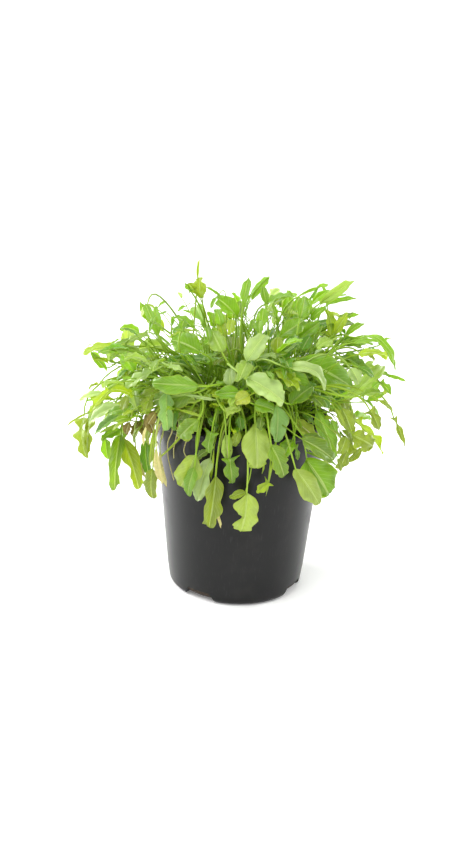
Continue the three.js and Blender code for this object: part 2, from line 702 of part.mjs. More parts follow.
function growBush(pot, soil) {
  const boxed = (solid, crown) => ({ solid, box: solid.boundingBox(), crown });
  const standing = [boxed(pot, -1), boxed(soil, -1)];
  crownSpots.forEach((spot, k) => {
    const peg = crownPeg(spot, CROWN_RADIUS, spot.z - CROWN_DEEP + GAP, spot.z + CROWN_PROUD);
    standing.push(boxed(peg, k));
  });
  const bodies = crownSpots.map((_, k) => standing[k + 2].solid);

  const grow = (make, tries) => {
    for (let attempt = 0; attempt < tries; attempt++) {
      const leaf = make(attempt);
      const wide = leafSolid(leaf, 2 * CLEARANCE);
      const others = standing.filter(({ crown }) => crown !== leaf.crown);
      const own = standing.filter(({ crown }) => crown === leaf.crown);
      if (crossing(wide, others) > 0 || crossing(wide, own) > SAME_CROWN_CROSSING) continue;
      const solid = leafSolid(leaf);
      standing.push(boxed(solid, leaf.crown));
      bodies[leaf.crown] = bodies[leaf.crown].add(solid);
      grown[leaf.crown] += 1;
      return;
    }
  };

  DRY_LEAVES.forEach((row, i) => {
    const index = LEAVES.length + i;
    grow((attempt) => seenLeaf(row, index, attempt, true), SEEN_TRIES);
  });
  LEAVES.forEach((row, i) => {
    grow((attempt) => seenLeaf(row, i, attempt), SEEN_TRIES);
  });
  for (let i = 0; i < FILL_COUNT; i++) {
    const index = LEAVES.length + DRY_LEAVES.length + i;
    grow((attempt) => placedLeaf(index, attempt), FILL_TRIES);
  }
  return bodies.map((solid, k) => (grown[k] ? wholeBody(solid) : null));
}

// The largest body of a fused solid, without the slivers, hollows and scraps that fusing leaves
function wholeBody(solid) {
  const largest = (fused) => fused.decompose().reduce((a, b) => (b.volume() > a.volume() ? b : a));
  return largest(solidOf(meshOf("", largest(solid.simplify(SLIVER)), green).geometry));
}

const plastic = new THREE.MeshStandardMaterial({ color: 0x3c3c3a, roughness: 0.45, metalness: 0 });
const earth = new THREE.MeshStandardMaterial({ color: 0x2b241c, roughness: 0.95, metalness: 0 });
const green = new THREE.MeshStandardMaterial({ color: 0x8fb52e, roughness: 0.5, metalness: 0 });
const straw = new THREE.MeshStandardMaterial({ color: 0xa88a4a, roughness: 0.8, metalness: 0 });

const part = new THREE.Group();
const pot = makePot();
const soil = makeSoil();
part.add(meshOf("pot", pot, plastic), meshOf("soil", soil, earth));
growBush(pot, soil).forEach((solid, k) => {
  if (!solid) return;
  const dry = DRY_CROWNS.includes(k);
  const name = (dry ? "dry_tuft_" : "tuft_") + String(k + 1).padStart(2, "0");
  part.add(meshOf(name, solid, dry ? straw : green));
});

export default part;
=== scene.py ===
# %% [markdown]
# # Potted sheep sorrel
#
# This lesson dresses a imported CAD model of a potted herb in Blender. The CAD model gives plain solids
# for a black nursery pot, its soil and 34 small tufts of leaves, all in metres and in one frame: the
# origin is the middle of the pot's underside, and Z points up. Each solid is replaced here by a finer
# piece of the same form, and each piece gets a material made of nodes.

# %% Load the frame
import math

import bmesh
import bpy
import numpy as np
from mathutils import Matrix, Vector, kdtree, noise


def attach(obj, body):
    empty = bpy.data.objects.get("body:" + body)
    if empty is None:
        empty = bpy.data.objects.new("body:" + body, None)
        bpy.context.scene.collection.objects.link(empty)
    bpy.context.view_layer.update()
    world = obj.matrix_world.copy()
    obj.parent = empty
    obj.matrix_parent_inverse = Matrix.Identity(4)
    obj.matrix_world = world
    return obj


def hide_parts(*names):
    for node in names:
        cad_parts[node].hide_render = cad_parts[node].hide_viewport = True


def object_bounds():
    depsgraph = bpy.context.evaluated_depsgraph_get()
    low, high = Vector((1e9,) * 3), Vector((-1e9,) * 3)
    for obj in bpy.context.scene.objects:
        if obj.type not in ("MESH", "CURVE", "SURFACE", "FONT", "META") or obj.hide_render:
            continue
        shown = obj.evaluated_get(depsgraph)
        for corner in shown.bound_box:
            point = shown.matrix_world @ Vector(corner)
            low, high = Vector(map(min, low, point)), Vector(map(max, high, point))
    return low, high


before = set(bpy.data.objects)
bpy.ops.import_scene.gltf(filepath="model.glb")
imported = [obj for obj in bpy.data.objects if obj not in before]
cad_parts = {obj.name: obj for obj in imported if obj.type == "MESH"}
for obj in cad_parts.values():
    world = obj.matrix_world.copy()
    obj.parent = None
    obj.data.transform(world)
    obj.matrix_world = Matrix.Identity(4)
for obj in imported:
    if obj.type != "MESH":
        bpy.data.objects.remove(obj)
cad_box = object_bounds()
MM = 0.001
print(len(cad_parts), "packed nodes, box", cad_box)

# %% [markdown]
# ## Camera
#
# The picture is taken from a little above the rim, with the pot's axis leaning very slightly to the
# right. The camera stands on a line that rises 21.6 degrees from a point on the axis. At that
# distance a millimetre on the axis is one pixel of an image 841 pixels high, so the focal length
# follows from the distance alone, and a small shift sets the pot below the middle.

# %% Camera
IMAGE_WIDTH, IMAGE_HEIGHT = 474, 841
EYE_ELEVATION = math.radians(21.6)
EYE_DISTANCE = 984
EYE_LEAN = math.radians(2.4)
EYE_AIM = Vector((0, 0, 88.6))
AIM_PIXEL = (237.9, 496.2)
SENSOR = 36

eye_back = Vector((0, -math.cos(EYE_ELEVATION), math.sin(EYE_ELEVATION)))
eye_up = Vector((0, math.sin(EYE_ELEVATION), math.cos(EYE_ELEVATION)))
eye_right = Vector((1, 0, 0))
eye_at = EYE_AIM + eye_back * EYE_DISTANCE

image_right = eye_right * math.cos(EYE_LEAN) + eye_up * math.sin(EYE_LEAN)
image_up = eye_up * math.cos(EYE_LEAN) - eye_right * math.sin(EYE_LEAN)

camera_data = bpy.data.cameras.new("camera")
camera_data.sensor_width = SENSOR
camera_data.lens = SENSOR * EYE_DISTANCE / IMAGE_HEIGHT
camera_data.shift_x = (IMAGE_WIDTH / 2 - AIM_PIXEL[0]) / IMAGE_HEIGHT
camera_data.shift_y = (AIM_PIXEL[1] - IMAGE_HEIGHT / 2) / IMAGE_HEIGHT
camera = bpy.data.objects.new("camera", camera_data)
turn = Matrix((image_right, image_up, eye_back)).transposed().to_4x4()
camera.matrix_world = Matrix.Translation(eye_at * MM) @ turn
bpy.context.collection.objects.link(camera)
bpy.context.scene.camera = camera
print("lens", round(camera_data.lens, 1), "mm at", [round(v, 3) for v in camera.location])

# %% [markdown]
# ## Light and floor
#
# A product picture on white has light from all round, and most of it from above. Here one broad, soft
# sun stands high on the left, a white world fills the shadows, and a tall panel behind each side shows
# in the dark, satin pot as a pale band. The left panel is the wider one, and a third one far behind
# lights the rear of the bush. The floor is a white sheet that curves up all round, so no horizon shows
# from any side, and it glows faintly to stay white. The Standard view keeps white as white.

# %% White world
WORLD_LIGHT = 0.55
scene = bpy.context.scene
scene.view_settings.view_transform = "Standard"
world = bpy.data.worlds.new("white room")
world.use_nodes = True
world.node_tree.nodes["Background"].inputs["Color"].default_value = (1, 1, 1, 1)
world.node_tree.nodes["Background"].inputs["Strength"].default_value = WORLD_LIGHT
scene.world = world
print("view:", scene.view_settings.view_transform, "world:", world.name)

# %% Lights


def lamp(kind, name, place, power, target=(0, 0, 0.15), **settings):
    """A lamp in metres that faces a target."""
    data = bpy.data.lights.new(name, kind)
    data.energy = power
    for setting, value in settings.items():
        setattr(data, setting, value)
    made = bpy.data.objects.new(name, data)
    made.location = place
    made.rotation_euler = (Vector(place) - Vector(target)).to_track_quat("Z", "Y").to_euler()
    bpy.context.collection.objects.link(made)


lamp("SUN", "broad_sun", (-0.6, -0.8, 2.4), 2.45, angle=math.radians(45))
lamp("AREA", "panel_left", (-1.05, 0.45, 0.3), 24, shape="RECTANGLE", size=0.7, size_y=1.0)
lamp("AREA", "panel_right", (1.1, 0.65, 0.3), 10, shape="RECTANGLE", size=0.35, size_y=0.9)
lamp("AREA", "panel_back", (0.1, 1.5, 1.5), 12, shape="RECTANGLE", size=1.6, size_y=0.8)
print(len(bpy.data.lights), "lamps")

# %% Floor sheet
# The flat middle and the radius of the bend are in metres, and the turn of the bend is in radians
FLAT_RADIUS, RISE_RADIUS, RISE_TURN = 2.0, 2.5, 1.5
RISE_STEPS, SHEET_SIDES = 24, 96
turns = np.arange(SHEET_SIDES) * 2 * np.pi / SHEET_SIDES
sheet_points, sheet_faces = [], [list(range(SHEET_SIDES))]
for bend in np.linspace(0, RISE_TURN, RISE_STEPS):
    radius, height = FLAT_RADIUS + RISE_RADIUS * math.sin(bend), RISE_RADIUS * (1 - math.cos(bend))
    sheet_points += [(radius * math.cos(a), radius * math.sin(a), height) for a in turns]
for ring in range(RISE_STEPS - 1):
    for k in range(SHEET_SIDES):
        a, b = ring * SHEET_SIDES + k, ring * SHEET_SIDES + (k + 1) % SHEET_SIDES
        sheet_faces.append((a, a + SHEET_SIDES, b + SHEET_SIDES, b))
floor_mesh = bpy.data.meshes.new("floor")
floor_mesh.from_pydata(sheet_points, [], sheet_faces)
floor_mesh.shade_smooth()
floor = bpy.data.objects.new("floor", floor_mesh)
bpy.context.collection.objects.link(floor)
print(len(sheet_faces), "faces in the floor sheet")

# %% [markdown]
# ## Building materials from nodes
#
# Materials could be wired by hand, node after node, but short helpers keep their graphs readable. add
# makes a node, sets its properties and fills its sockets, each with a value or with the output of
# another node. blend mixes two colours, and sums does one step of arithmetic. ramp turns a number into
# a soft step, speckle is noise, and dent presses a height into the surface.


# %% Nodes, colours and sums
def add(tree, kind, sockets, **settings):
    """A shader node. sockets maps an input's name or number to a value or to another output."""
    node = tree.nodes.new("ShaderNode" + kind)
    for name, value in settings.items():
        setattr(node, name, value)
    for key, value in sockets.items():
        if isinstance(value, bpy.types.NodeSocket):
            tree.links.new(value, node.inputs[key])
        else:
            node.inputs[key].default_value = value
    return node


def blend(tree, factor, first, second, mode="MIX"):
    """The colour between two colours. Sockets 6 and 7 of a Mix node are its two colours."""
    colours = [v if isinstance(v, bpy.types.NodeSocket) else (*v, 1) for v in (first, second)]
    sockets = {0: factor, 6: colours[0], 7: colours[1]}
    return add(tree, "Mix", sockets, data_type="RGBA", blend_type=mode).outputs[2]


def sums(tree, operation, first, second=0.0, third=0.0):
    """One step of arithmetic on numbers."""
    return add(tree, "Math", {0: first, 1: second, 2: third}, operation=operation).outputs[0]


# %% Soft steps and noise
def ramp(tree, value, low, high):
    """0 below low, 1 above high, and a smooth rise between them. Low may be the higher number."""
    sockets = {"Value": value, "From Min": low, "From Max": high}
    return add(tree, "MapRange", sockets, interpolation_type="SMOOTHSTEP").outputs["Result"]


def speckle(tree, scale, detail=2.0, stretch=(1, 1, 1)):
    """Noise in the object's own metres, from 0 to 1."""
    place = add(tree, "TexCoord", {}).outputs["Object"]
    place = add(tree, "Mapping", {"Vector": place, "Scale": stretch}).outputs[0]
    return add(tree, "TexNoise", {"Vector": place, "Scale": scale, "Detail": detail}).outputs[0]


# %% Materials and dents
def new_material(name):
    """A material with its node tree and its main shader."""
    material = bpy.data.materials.new(name)
    material.use_nodes = True
    return material, material.node_tree, material.node_tree.nodes["Principled BSDF"]


def dent(tree, shader, height, depth):
    """Presses a height from 0 to 1 into the surface, as deep as depth in metres."""
    bump = add(tree, "Bump", {"Height": height, "Distance": depth, "Strength": 1.0})
    tree.links.new(bump.outputs[0], shader.inputs["Normal"])


# %% Floor material
FLOOR_GLOW = 0.12
floor_material, tree, shader = new_material("pale floor")
floor_colour = blend(tree, speckle(tree, 3), (0.94, 0.94, 0.94), (0.96, 0.96, 0.96))
tree.links.new(floor_colour, shader.inputs["Base Color"])
shader.inputs["Roughness"].default_value = 0.9
shader.inputs["Emission Color"].default_value = (1, 1, 1, 1)
shader.inputs["Emission Strength"].default_value = FLOOR_GLOW
floor.data.materials.append(floor_material)
print("pale floor:", len(tree.nodes), "nodes")

# %% [markdown]
# ## Pieces from numbers
#
# All the numbers below are millimetres, and they are scaled to metres at the end.


# %% Finished pieces
def finished_piece(name, points, faces, materials, node=None, slot=None):
    """An object from points in millimetres. With no node named, it is a cutting tool."""
    mesh = bpy.data.meshes.new(name)
    mesh.from_pydata([tuple(p) for p in np.asarray(points) * MM], [], faces)
    mesh.shade_smooth()
    for material in materials:
        mesh.materials.append(material)
    piece = bpy.data.objects.new(name, mesh)
    bpy.context.collection.objects.link(piece)
    if node:
        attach(piece, "root")
        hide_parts(node)
    return piece


# %% Turned shapes
def turned(profile, sides):
    """Points and faces of a profile of (radius, height) pairs turned round the axis."""
    angles = np.arange(sides) * 2 * np.pi / sides
    points, rings = [], []
    for radius, height in profile:
        count = 1 if radius == 0 else sides
        rings.append([len(points) + k for k in range(count)])
        points += [(radius * np.cos(a), radius * np.sin(a), height) for a in angles[:count]]
    faces = []
    for low, high in zip(rings, rings[1:]):
        for k in range(sides):
            j = (k + 1) % sides
            corners = [low[k % len(low)], low[j % len(low)], high[j % len(high)], high[k % len(high)]]
            faces.append(list(dict.fromkeys(corners)))
    return points, faces


disc_points, disc_faces = turned([(0, 0), (1, 0)], 8)
print("a disc of 8 sides has", len(disc_points), "points and", len(disc_faces), "faces")

# %% [markdown]
# ## The pot
#
# The real pot is one thin moulding of black plastic: a plain taper, a rounded bottom edge, a small lip
# and four drain notches under it. The profile is turned in 192 steps, so its outline is round at any
# size. The notches are cut with Boolean modifiers. Each one first gets a wall of its own, cut to the
# pot's outside, and then the hollow below that wall is taken away, with a drain hole in its roof.

# %% Pot profile
POT_HEIGHT, RIM_RADIUS, BASE_RADIUS = 176, 83.6, 67.2
EDGE_RADIUS, WALL, FLOOR_THICK = 7, 1.4, 2
LIP_PROUD, LIP_DEEP = 1, 6
LIP_CREASE, RIM_ROUND, RIM_INSET, RIM_INNER = 0.5, 0.4, 0.1, 0.3
UNDERSIDE_RING, WALL_FROM, WALL_STEP = 30, 20, 25
POT_SIDES = 192


def wall_radius(z):
    return BASE_RADIUS + (RIM_RADIUS - BASE_RADIUS) * z / POT_HEIGHT


def arc(centre_r, centre_z, radius, start, end, steps):
    """Points on an arc, from one angle in degrees to another. 0 points outwards, and 90 points up."""
    angles = np.radians(np.linspace(start, end, steps))
    return [(centre_r + radius * math.cos(a), centre_z + radius * math.sin(a)) for a in angles]


lip_foot = POT_HEIGHT - LIP_DEEP
outside = [(0, 0), (UNDERSIDE_RING, 0)]
outside += arc(wall_radius(0) - EDGE_RADIUS, EDGE_RADIUS, EDGE_RADIUS, -90, 0, 9)
outside += [(wall_radius(z), z) for z in range(WALL_FROM, lip_foot, WALL_STEP)]
outside += [(wall_radius(lip_foot - LIP_CREASE), lip_foot - LIP_CREASE)]
outside += [(wall_radius(lip_foot) + RIM_ROUND, lip_foot)]
outside += [(wall_radius(lip_foot) + LIP_PROUD, lip_foot + LIP_PROUD)]
rim_curve = LIP_PROUD + RIM_INSET
outside += arc(RIM_RADIUS - RIM_INSET, POT_HEIGHT - rim_curve, rim_curve, 10, 90, 6)
inside = arc(RIM_RADIUS - WALL + RIM_INNER, POT_HEIGHT - RIM_ROUND, RIM_ROUND, 90, 180, 3)
inside += [(wall_radius(EDGE_RADIUS) - WALL, EDGE_RADIUS), (wall_radius(0) - EDGE_RADIUS, FLOOR_THICK)]
inside += [(0, FLOOR_THICK)]
print(len(outside) + len(inside), "points in the pot's profile")

# %% Notches
SEAM, NOTCH_FROM_SEAM = 15.5, 47
NOTCH_HEIGHT, NOTCH_FOOT, NOTCH_ROOF, NOTCH_INNER_RADIUS = 11, 39, 24, 52
DRAIN_ACROSS, DRAIN_RADIAL, DRAIN_BELOW, DRAIN_ABOVE = 12, 7, 2, 4
BELOW_FLOOR = 1
notch_turns = [SEAM + half + side * NOTCH_FROM_SEAM for half in (0, 180) for side in (-1, 1)]


def notch_outline(margin):
    """A notch as (sideways, height) pairs, larger by a margin."""
    foot, roof = NOTCH_FOOT / 2 + margin, NOTCH_ROOF / 2 + margin
    top = NOTCH_HEIGHT + margin
    return [(-foot, -BELOW_FLOOR), (foot, -BELOW_FLOOR), (roof, top), (-roof, top)]


drain_half, drain_foot, drain_top = DRAIN_ACROSS / 2, NOTCH_HEIGHT - DRAIN_BELOW, NOTCH_HEIGHT + DRAIN_ABOVE
drain_outline = [(x, drain_foot) for x in (-drain_half, drain_half)]
drain_outline += [(x, drain_top) for x in (drain_half, -drain_half)]
print("notches at", notch_turns, "degrees from the front")


# %% Prisms at the notches
def prisms(outline, near, far):
    """An outline of (sideways, height) pairs run outwards from near to far, once at each notch."""
    points, faces = [], []
    count = len(outline)
    for degrees in notch_turns:
        a = math.radians(degrees)
        first = len(points)
        sideways = np.array((math.cos(a), math.sin(a)))
        outward = np.array((math.sin(a), -math.cos(a)))
        for radius in (near, far):
            points += [(*(x * sideways + radius * outward), z) for x, z in outline]
        faces.append([first + k for k in reversed(range(count))])
        faces.append([first + count + k for k in range(count)])
        for k in range(count):
            j = (k + 1) % count
            faces.append([first + k, first + j, first + count + j, first + count + k])
    return points, faces


# %% Boolean cuts
def combined(piece, operation, tool):
    """Applies a Boolean modifier to a piece, and removes the tool."""
    modifier = piece.modifiers.new("cut", "BOOLEAN")
    modifier.operation, modifier.solver, modifier.object = operation, "MANIFOLD", tool
    depsgraph = bpy.context.evaluated_depsgraph_get()
    result = bpy.data.meshes.new_from_object(piece.evaluated_get(depsgraph))
    piece.modifiers.clear()
    piece.data = result
    bpy.data.objects.remove(tool)


def cutter(name, shape):
    """A piece that a Boolean step uses up, from (points, faces)."""
    return finished_piece(name, *shape, [])


# %% Pot body
SHARP_ANGLE = math.radians(35)
outside_wall = BASE_RADIUS + 20
drain_start = NOTCH_INNER_RADIUS + 1
pot = finished_piece("pot_body", *turned(outside + inside, POT_SIDES), [], node="pot", slot="pot_plastic")
whole = cutter("whole", turned(outside + [(0, POT_HEIGHT)], POT_SIDES))
notch_walls = cutter("walls", prisms(notch_outline(WALL), NOTCH_INNER_RADIUS - WALL, outside_wall))
combined(notch_walls, "INTERSECT", whole)
combined(pot, "UNION", notch_walls)
combined(pot, "DIFFERENCE", cutter("hollows", prisms(notch_outline(0), NOTCH_INNER_RADIUS, outside_wall)))
combined(pot, "DIFFERENCE", cutter("drains", prisms(drain_outline, drain_start, drain_start + DRAIN_RADIAL)))
pot.data.shade_smooth()
pot.data.set_sharp_from_angle(angle=SHARP_ANGLE)
print(len(pot.data.polygons), "faces in the pot")

# %% [markdown]
# The plastic is nearly black, and what looks grey on it is the white room in its satin surface. Fine
# scratches run down the wall from stacking, and a little pale dust from the soil lies on it. The noise
# for the scratches is squeezed along Z, which stretches each spot into a streak.

# %% Plastic
BLACK, DUSTY, SCRATCHED = (0.004, 0.004, 0.0041), (0.010, 0.0095, 0.0085), (0.03, 0.03, 0.03)
plastic, tree, shader = new_material("black plastic")
scratches = ramp(tree, speckle(tree, 900, 3, (1, 1, 0.05)), 0.6, 0.75)
dust = ramp(tree, speckle(tree, 45, 6), 0.5, 0.8)
grain = speckle(tree, 2500, 2)
colour = blend(tree, dust, BLACK, DUSTY)
colour = blend(tree, sums(tree, "MULTIPLY", scratches, 0.35), colour, SCRATCHED)
tree.links.new(colour, shader.inputs["Base Color"])
rough = sums(tree, "MULTIPLY_ADD", dust, 0.12, 0.3)
rough = sums(tree, "MULTIPLY_ADD", scratches, 0.1, rough)
tree.links.new(rough, shader.inputs["Roughness"])
shader.inputs["Specular IOR Level"].default_value = 0.25
dent(tree, shader, grain, 0.00002)
pot.data.materials.clear()
pot.data.materials.append(plastic)
pot.data.polygons.foreach_set("material_index", [0] * len(pot.data.polygons))
print("plastic:", len(tree.nodes), "nodes")

# %% [markdown]
# ## Soil
#
# Potting soil is dark, crumbly and a little lumpy. The large lumps follow the same two waves as in the
# CAD model, finer noise is added to them, and loose crumbs of bark lie on top. Each crumb is a small
# sphere that noise has dented, sunk into the surface by a third.

# %% Soil surface
GAP, SOIL_BELOW_RIM, SOIL_DOME, SOIL_EDGE = 0.3, 15, 5, 4
SOIL_SIDES, SOIL_RINGS, FINE_LUMPS = 120, 34, 0.9
SOIL_LEVELS = (EDGE_RADIUS + 1, 60, 110)
soil_top = POT_HEIGHT - SOIL_BELOW_RIM


def soil_height(x, y):
    lumps = math.sin(x * 0.13 + 1) * math.sin(y * 0.17 + 2) + 0.6 * math.sin(x * 0.31 - y * 0.27)
    return soil_top + SOIL_DOME * (1 - (x * x + y * y) / RIM_RADIUS**2) + lumps


def soil_inner(z):
    return wall_radius(z) - WALL - GAP


soil_edge = soil_top - SOIL_EDGE
profile = [(0, FLOOR_THICK + GAP), (wall_radius(0) - EDGE_RADIUS - 1, FLOOR_THICK + GAP)]
profile += [(soil_inner(z), z) for z in (*SOIL_LEVELS, soil_edge)]
profile += [(soil_inner(soil_edge) * share, soil_edge + 1) for share in np.linspace(0.985, 0, SOIL_RINGS)]
points, faces = turned(profile, SOIL_SIDES)
for k, (x, y, z) in enumerate(points):
    if z > soil_edge + 0.5:
        fine = noise.noise(Vector((x, y, 0)) * 0.35) + 0.6 * noise.noise(Vector((x, y, 7)) * 0.9)
        points[k] = (x, y, soil_height(x, y) + FINE_LUMPS * fine)
print(len(points), "points in the soil's surface")

# %% Crumbs
CRUMBS, CRUMB_LEAST, CRUMB_MORE = 420, 0.7, 2.1
draws = np.random.default_rng(7)
crumb = bmesh.new()
bmesh.ops.create_icosphere(crumb, subdivisions=2, radius=1)
crumb_points = [v.co.copy() for v in crumb.verts]
crumb_faces = [[v.index for v in f.verts] for f in crumb.faces]
crumb.free()
for k in range(CRUMBS):
    radius = soil_inner(soil_edge) * 0.95 * math.sqrt(draws.random())
    angle = 2 * math.pi * draws.random()
    x, y = radius * math.cos(angle), radius * math.sin(angle)
    size = CRUMB_LEAST + CRUMB_MORE * draws.random() ** 3
    flat = 0.5 + 0.5 * draws.random()
    centre = Vector((x, y, soil_height(x, y) + 0.3 * size * flat))
    first = len(points)
    for corner in crumb_points:
        dented = corner * (size * (1 + 0.55 * noise.noise(corner * 1.4 + centre)))
        points.append(centre + Vector((dented.x, dented.y, dented.z * flat)))
    faces += [[first + i for i in face] for face in crumb_faces]
print(CRUMBS, "crumbs of", len(crumb_faces), "faces each")

# %% Soil material
DARK_SOIL, PALE_SOIL, FIBRE = (0.006, 0.004, 0.003), (0.045, 0.028, 0.015), (0.13, 0.085, 0.045)
earth, tree, shader = new_material("potting soil")
clods = speckle(tree, 260, 6)
fibres = ramp(tree, speckle(tree, 900, 2, (1, 0.25, 1)), 0.62, 0.7)
colour = blend(tree, clods, DARK_SOIL, PALE_SOIL)
colour = blend(tree, fibres, colour, FIBRE)
tree.links.new(colour, shader.inputs["Base Color"])
shader.inputs["Roughness"].default_value = 0.95
dent(tree, shader, clods, 0.001)
soil = finished_piece("soil_lumps", points, faces, [earth], node="soil", slot="soil")
print(len(soil.data.polygons), "faces in the soil")

# %% [markdown]
# ## Leaves
#
# A leaf is described by where its blade is seen in the picture: the stalk end and the tip, each so
# many millimetres to the right of the pot's axis and above the aim point, and the blade's width. A
# place from 0 to 1 puts it on a smaller or larger dome over the pot, and HANG puts it just outside
# the pot's wall. The last word is the leaf's tone, and the number after it, where there is one, is how
# strongly the leaf arches.

# %% Leaves that hang over the front rim
HANG = "hang"
LEAVES = [
    ("oval", 17, 72, 19, 28, 25, HANG, "bright"),
    ("wavy", 9, 3, 3, -35, 24, HANG, "bright"),
    ("oval", -42, 41, -57, 10, 22, HANG, "bright"),
    ("oval", -27, 38, -40, -5, 18, HANG, "pale"),
    ("wavy", -22, 20, -29, -31, 17, HANG, "olive"),
    ("spear", -9, 38, -6, 13, 19, HANG, "fresh"),
    ("arrow", -26, 64, -29, 43, 17, HANG, "fresh"),
    ("arrow", 31, 14, 19, 3, 12, HANG, "lime"),
    ("oval", 57, 27, 81, -8, 19, HANG, "bright"),
    ("oval", 68, 37, 91, 2, 31, HANG, "fresh"),
    ("egg", 55, 56, 46, 40, 14, HANG, "fresh"),
    ("wavy", 33, 51, 46, 20, 17, HANG, "moss"),
    ("egg", -43, 29, -50, 1, 13, HANG, "fresh"),
    ("arrow", 57, 50, 60, 36, 8, HANG, "fresh"),
]
print(len(LEAVES), "leaves so far")

# %% Large leaves that others lie behind
LEAVES += [
    ("oval", -39, 110, -86, 113, 16, 0.8, "fresh"),
    ("oval", 61, 136, 113, 109, 27, 0.86, "fresh"),
    ("arrow", -68, 130, -55, 125, 8, 0.84, "pale"),
    ("oval", 45, 129, 87, 104, 13, 0.94, "pale", 0.34),
    ("oval", -38, 144, -66, 156, 22, 0.84, "fresh"),
    ("oval", 102, 139, 134, 116, 19, 0.84, "fresh"),
    ("egg", 2, 104, -22, 102, 12, 0.64, "fresh"),
    ("arrow", -48, 84, -57, 64, 14, 0.66, "moss"),
]
print(len(LEAVES), "leaves so far")

# %% Leaves that stand higher over the front rim
LEAVES += [
    ("oval", 39, 90, 38, 54, 18, 0.62, "blue"),
    ("oval", 78, 86, 96, 37, 15, 0.7, "fresh"),
    ("egg", 64, 60, 90, 44, 13, 0.7, "moss"),
    ("cut", 104, 96, 113, 58, 16, 0.78, "olive"),
    ("cut", 113, 66, 101, 27, 19, 0.78, "olive"),
    ("wavy", 114, 61, 135, 50, 19, 0.82, "olive"),
    ("arrow", -12, 84, 3, 88, 14, 0.6, "bright"),
    ("egg", 16, 92, 36, 86, 13, 0.66, "fresh"),
    ("egg", 12, 101, -3, 94, 13, 0.72, "yellow"),
    ("wavy", 9, 118, 46, 94, 22, 0.72, "pale"),
    ("egg", 52, 91, 75, 110, 15, 0.7, "fresh"),
    ("strap", 50, 77, 58, 84, 7, 0.6, "pale"),
    ("egg", 108, 103, 82, 98, 12, 0.76, "deep"),
    ("egg", 104, 97, 92, 84, 10, 0.7, "olive"),
    ("egg", 62, 84, 76, 72, 10, 0.56, "fresh"),
]
print(len(LEAVES), "leaves so far")

# %% Leaves low over the rim
LEAVES += [
    ("oval", -44, 103, -84, 96, 20, 0.74, "moss"),
    ("egg", -38, 90, -58, 70, 18, 0.6, "olive"),
    ("wavy", -40, 76, -58, 60, 16, 0.64, "moss"),
    ("egg", 8, 64, -8, 56, 10, 0.5, "olive"),
    ("egg", -63, 97, -65, 66, 11, 0.66, "deep"),
]
print(len(LEAVES), "leaves so far")

# %% Leaves that hang on the left
LEAVES += [
    ("cut", -154, 79, -151, 38, 18, 0.96, "olive"),
    ("strap", -146, 85, -174, 68, 3, 1, "olive"),
    ("oval", -117, 90, -149, 70, 15, 0.88, "pale"),
    ("oval", -111, 83, -143, 61, 13, 0.8, "blue"),
    ("arrow", -107, 89, -122, 98, 10, 0.84, "fresh"),
    ("egg", -132, 57, -130, 37, 10, 0.9, "fresh"),
    ("egg", -117, 67, -137, 56, 11, 0.84, "fresh"),
    ("wavy", -117, 62, -123, 6, 15, 0.84, "moss"),
    ("oval", -115, 58, -99, 7, 17, 0.8, "olive"),
    ("egg", -85, 28, -85, -2, 15, 0.74, "olive"),
    ("egg", -92, 56, -89, 20, 12, 0.72, "deep"),
    ("arrow", -139, 112, -149, 107, 9, 0.96, "olive"),
    ("egg", -136, 104, -159, 96, 8, 0.98, "pale"),
    ("egg", -137, 93, -150, 82, 9, 0.94, "fresh"),
    ("wavy", -71, 104, -70, 66, 14, 0.72, "blue"),
    ("egg", -74, 103, -99, 96, 13, 0.84, "lime"),
    ("egg", -41, 94, -62, 90, 11, 0.7, "bright"),
    ("egg", -97, 91, -114, 74, 12, 0.82, "fresh"),
    ("egg", -104, 106, -101, 86, 10, 0.84, "pale"),
    ("egg", -110, 72, -121, 44, 14, 0.82, "fresh"),
    ("egg", -84, 76, -90, 52, 10, 0.7, "olive"),
]
print(len(LEAVES), "leaves so far")

# %% Leaves that stand out on the left
LEAVES += [
    ("wavy", -85, 125, -112, 108, 13, 0.88, "pale"),
    ("arrow", -114, 122, -133, 104, 9, 0.92, "fresh"),
    ("oval", -118, 148, -155, 142, 14, 0.98, "lime"),
    ("strap", -128, 135, -126, 151, 9, 0.94, "pale"),
    ("strap", -131, 125, -146, 146, 5, 0.98, "fresh"),
    ("oval", -108, 142, -110, 171, 14, 0.94, "bright"),
    ("egg", -104, 125, -116, 143, 13, 0.86, "fresh"),
    ("oval", -70, 151, -100, 147, 18, 0.88, "soft"),
    ("egg", -16, 144, -26, 165, 16, 0.74, "soft"),
    ("arrow", -9, 144, -25, 130, 12, 0.66, "olive"),
    ("egg", -7, 110, -7, 128, 12, 0.66, "pale"),
    ("egg", -82, 142, -98, 129, 13, 0.86, "fresh"),
    ("egg", -42, 134, -64, 137, 12, 0.74, "deep"),
]
print(len(LEAVES), "leaves so far")

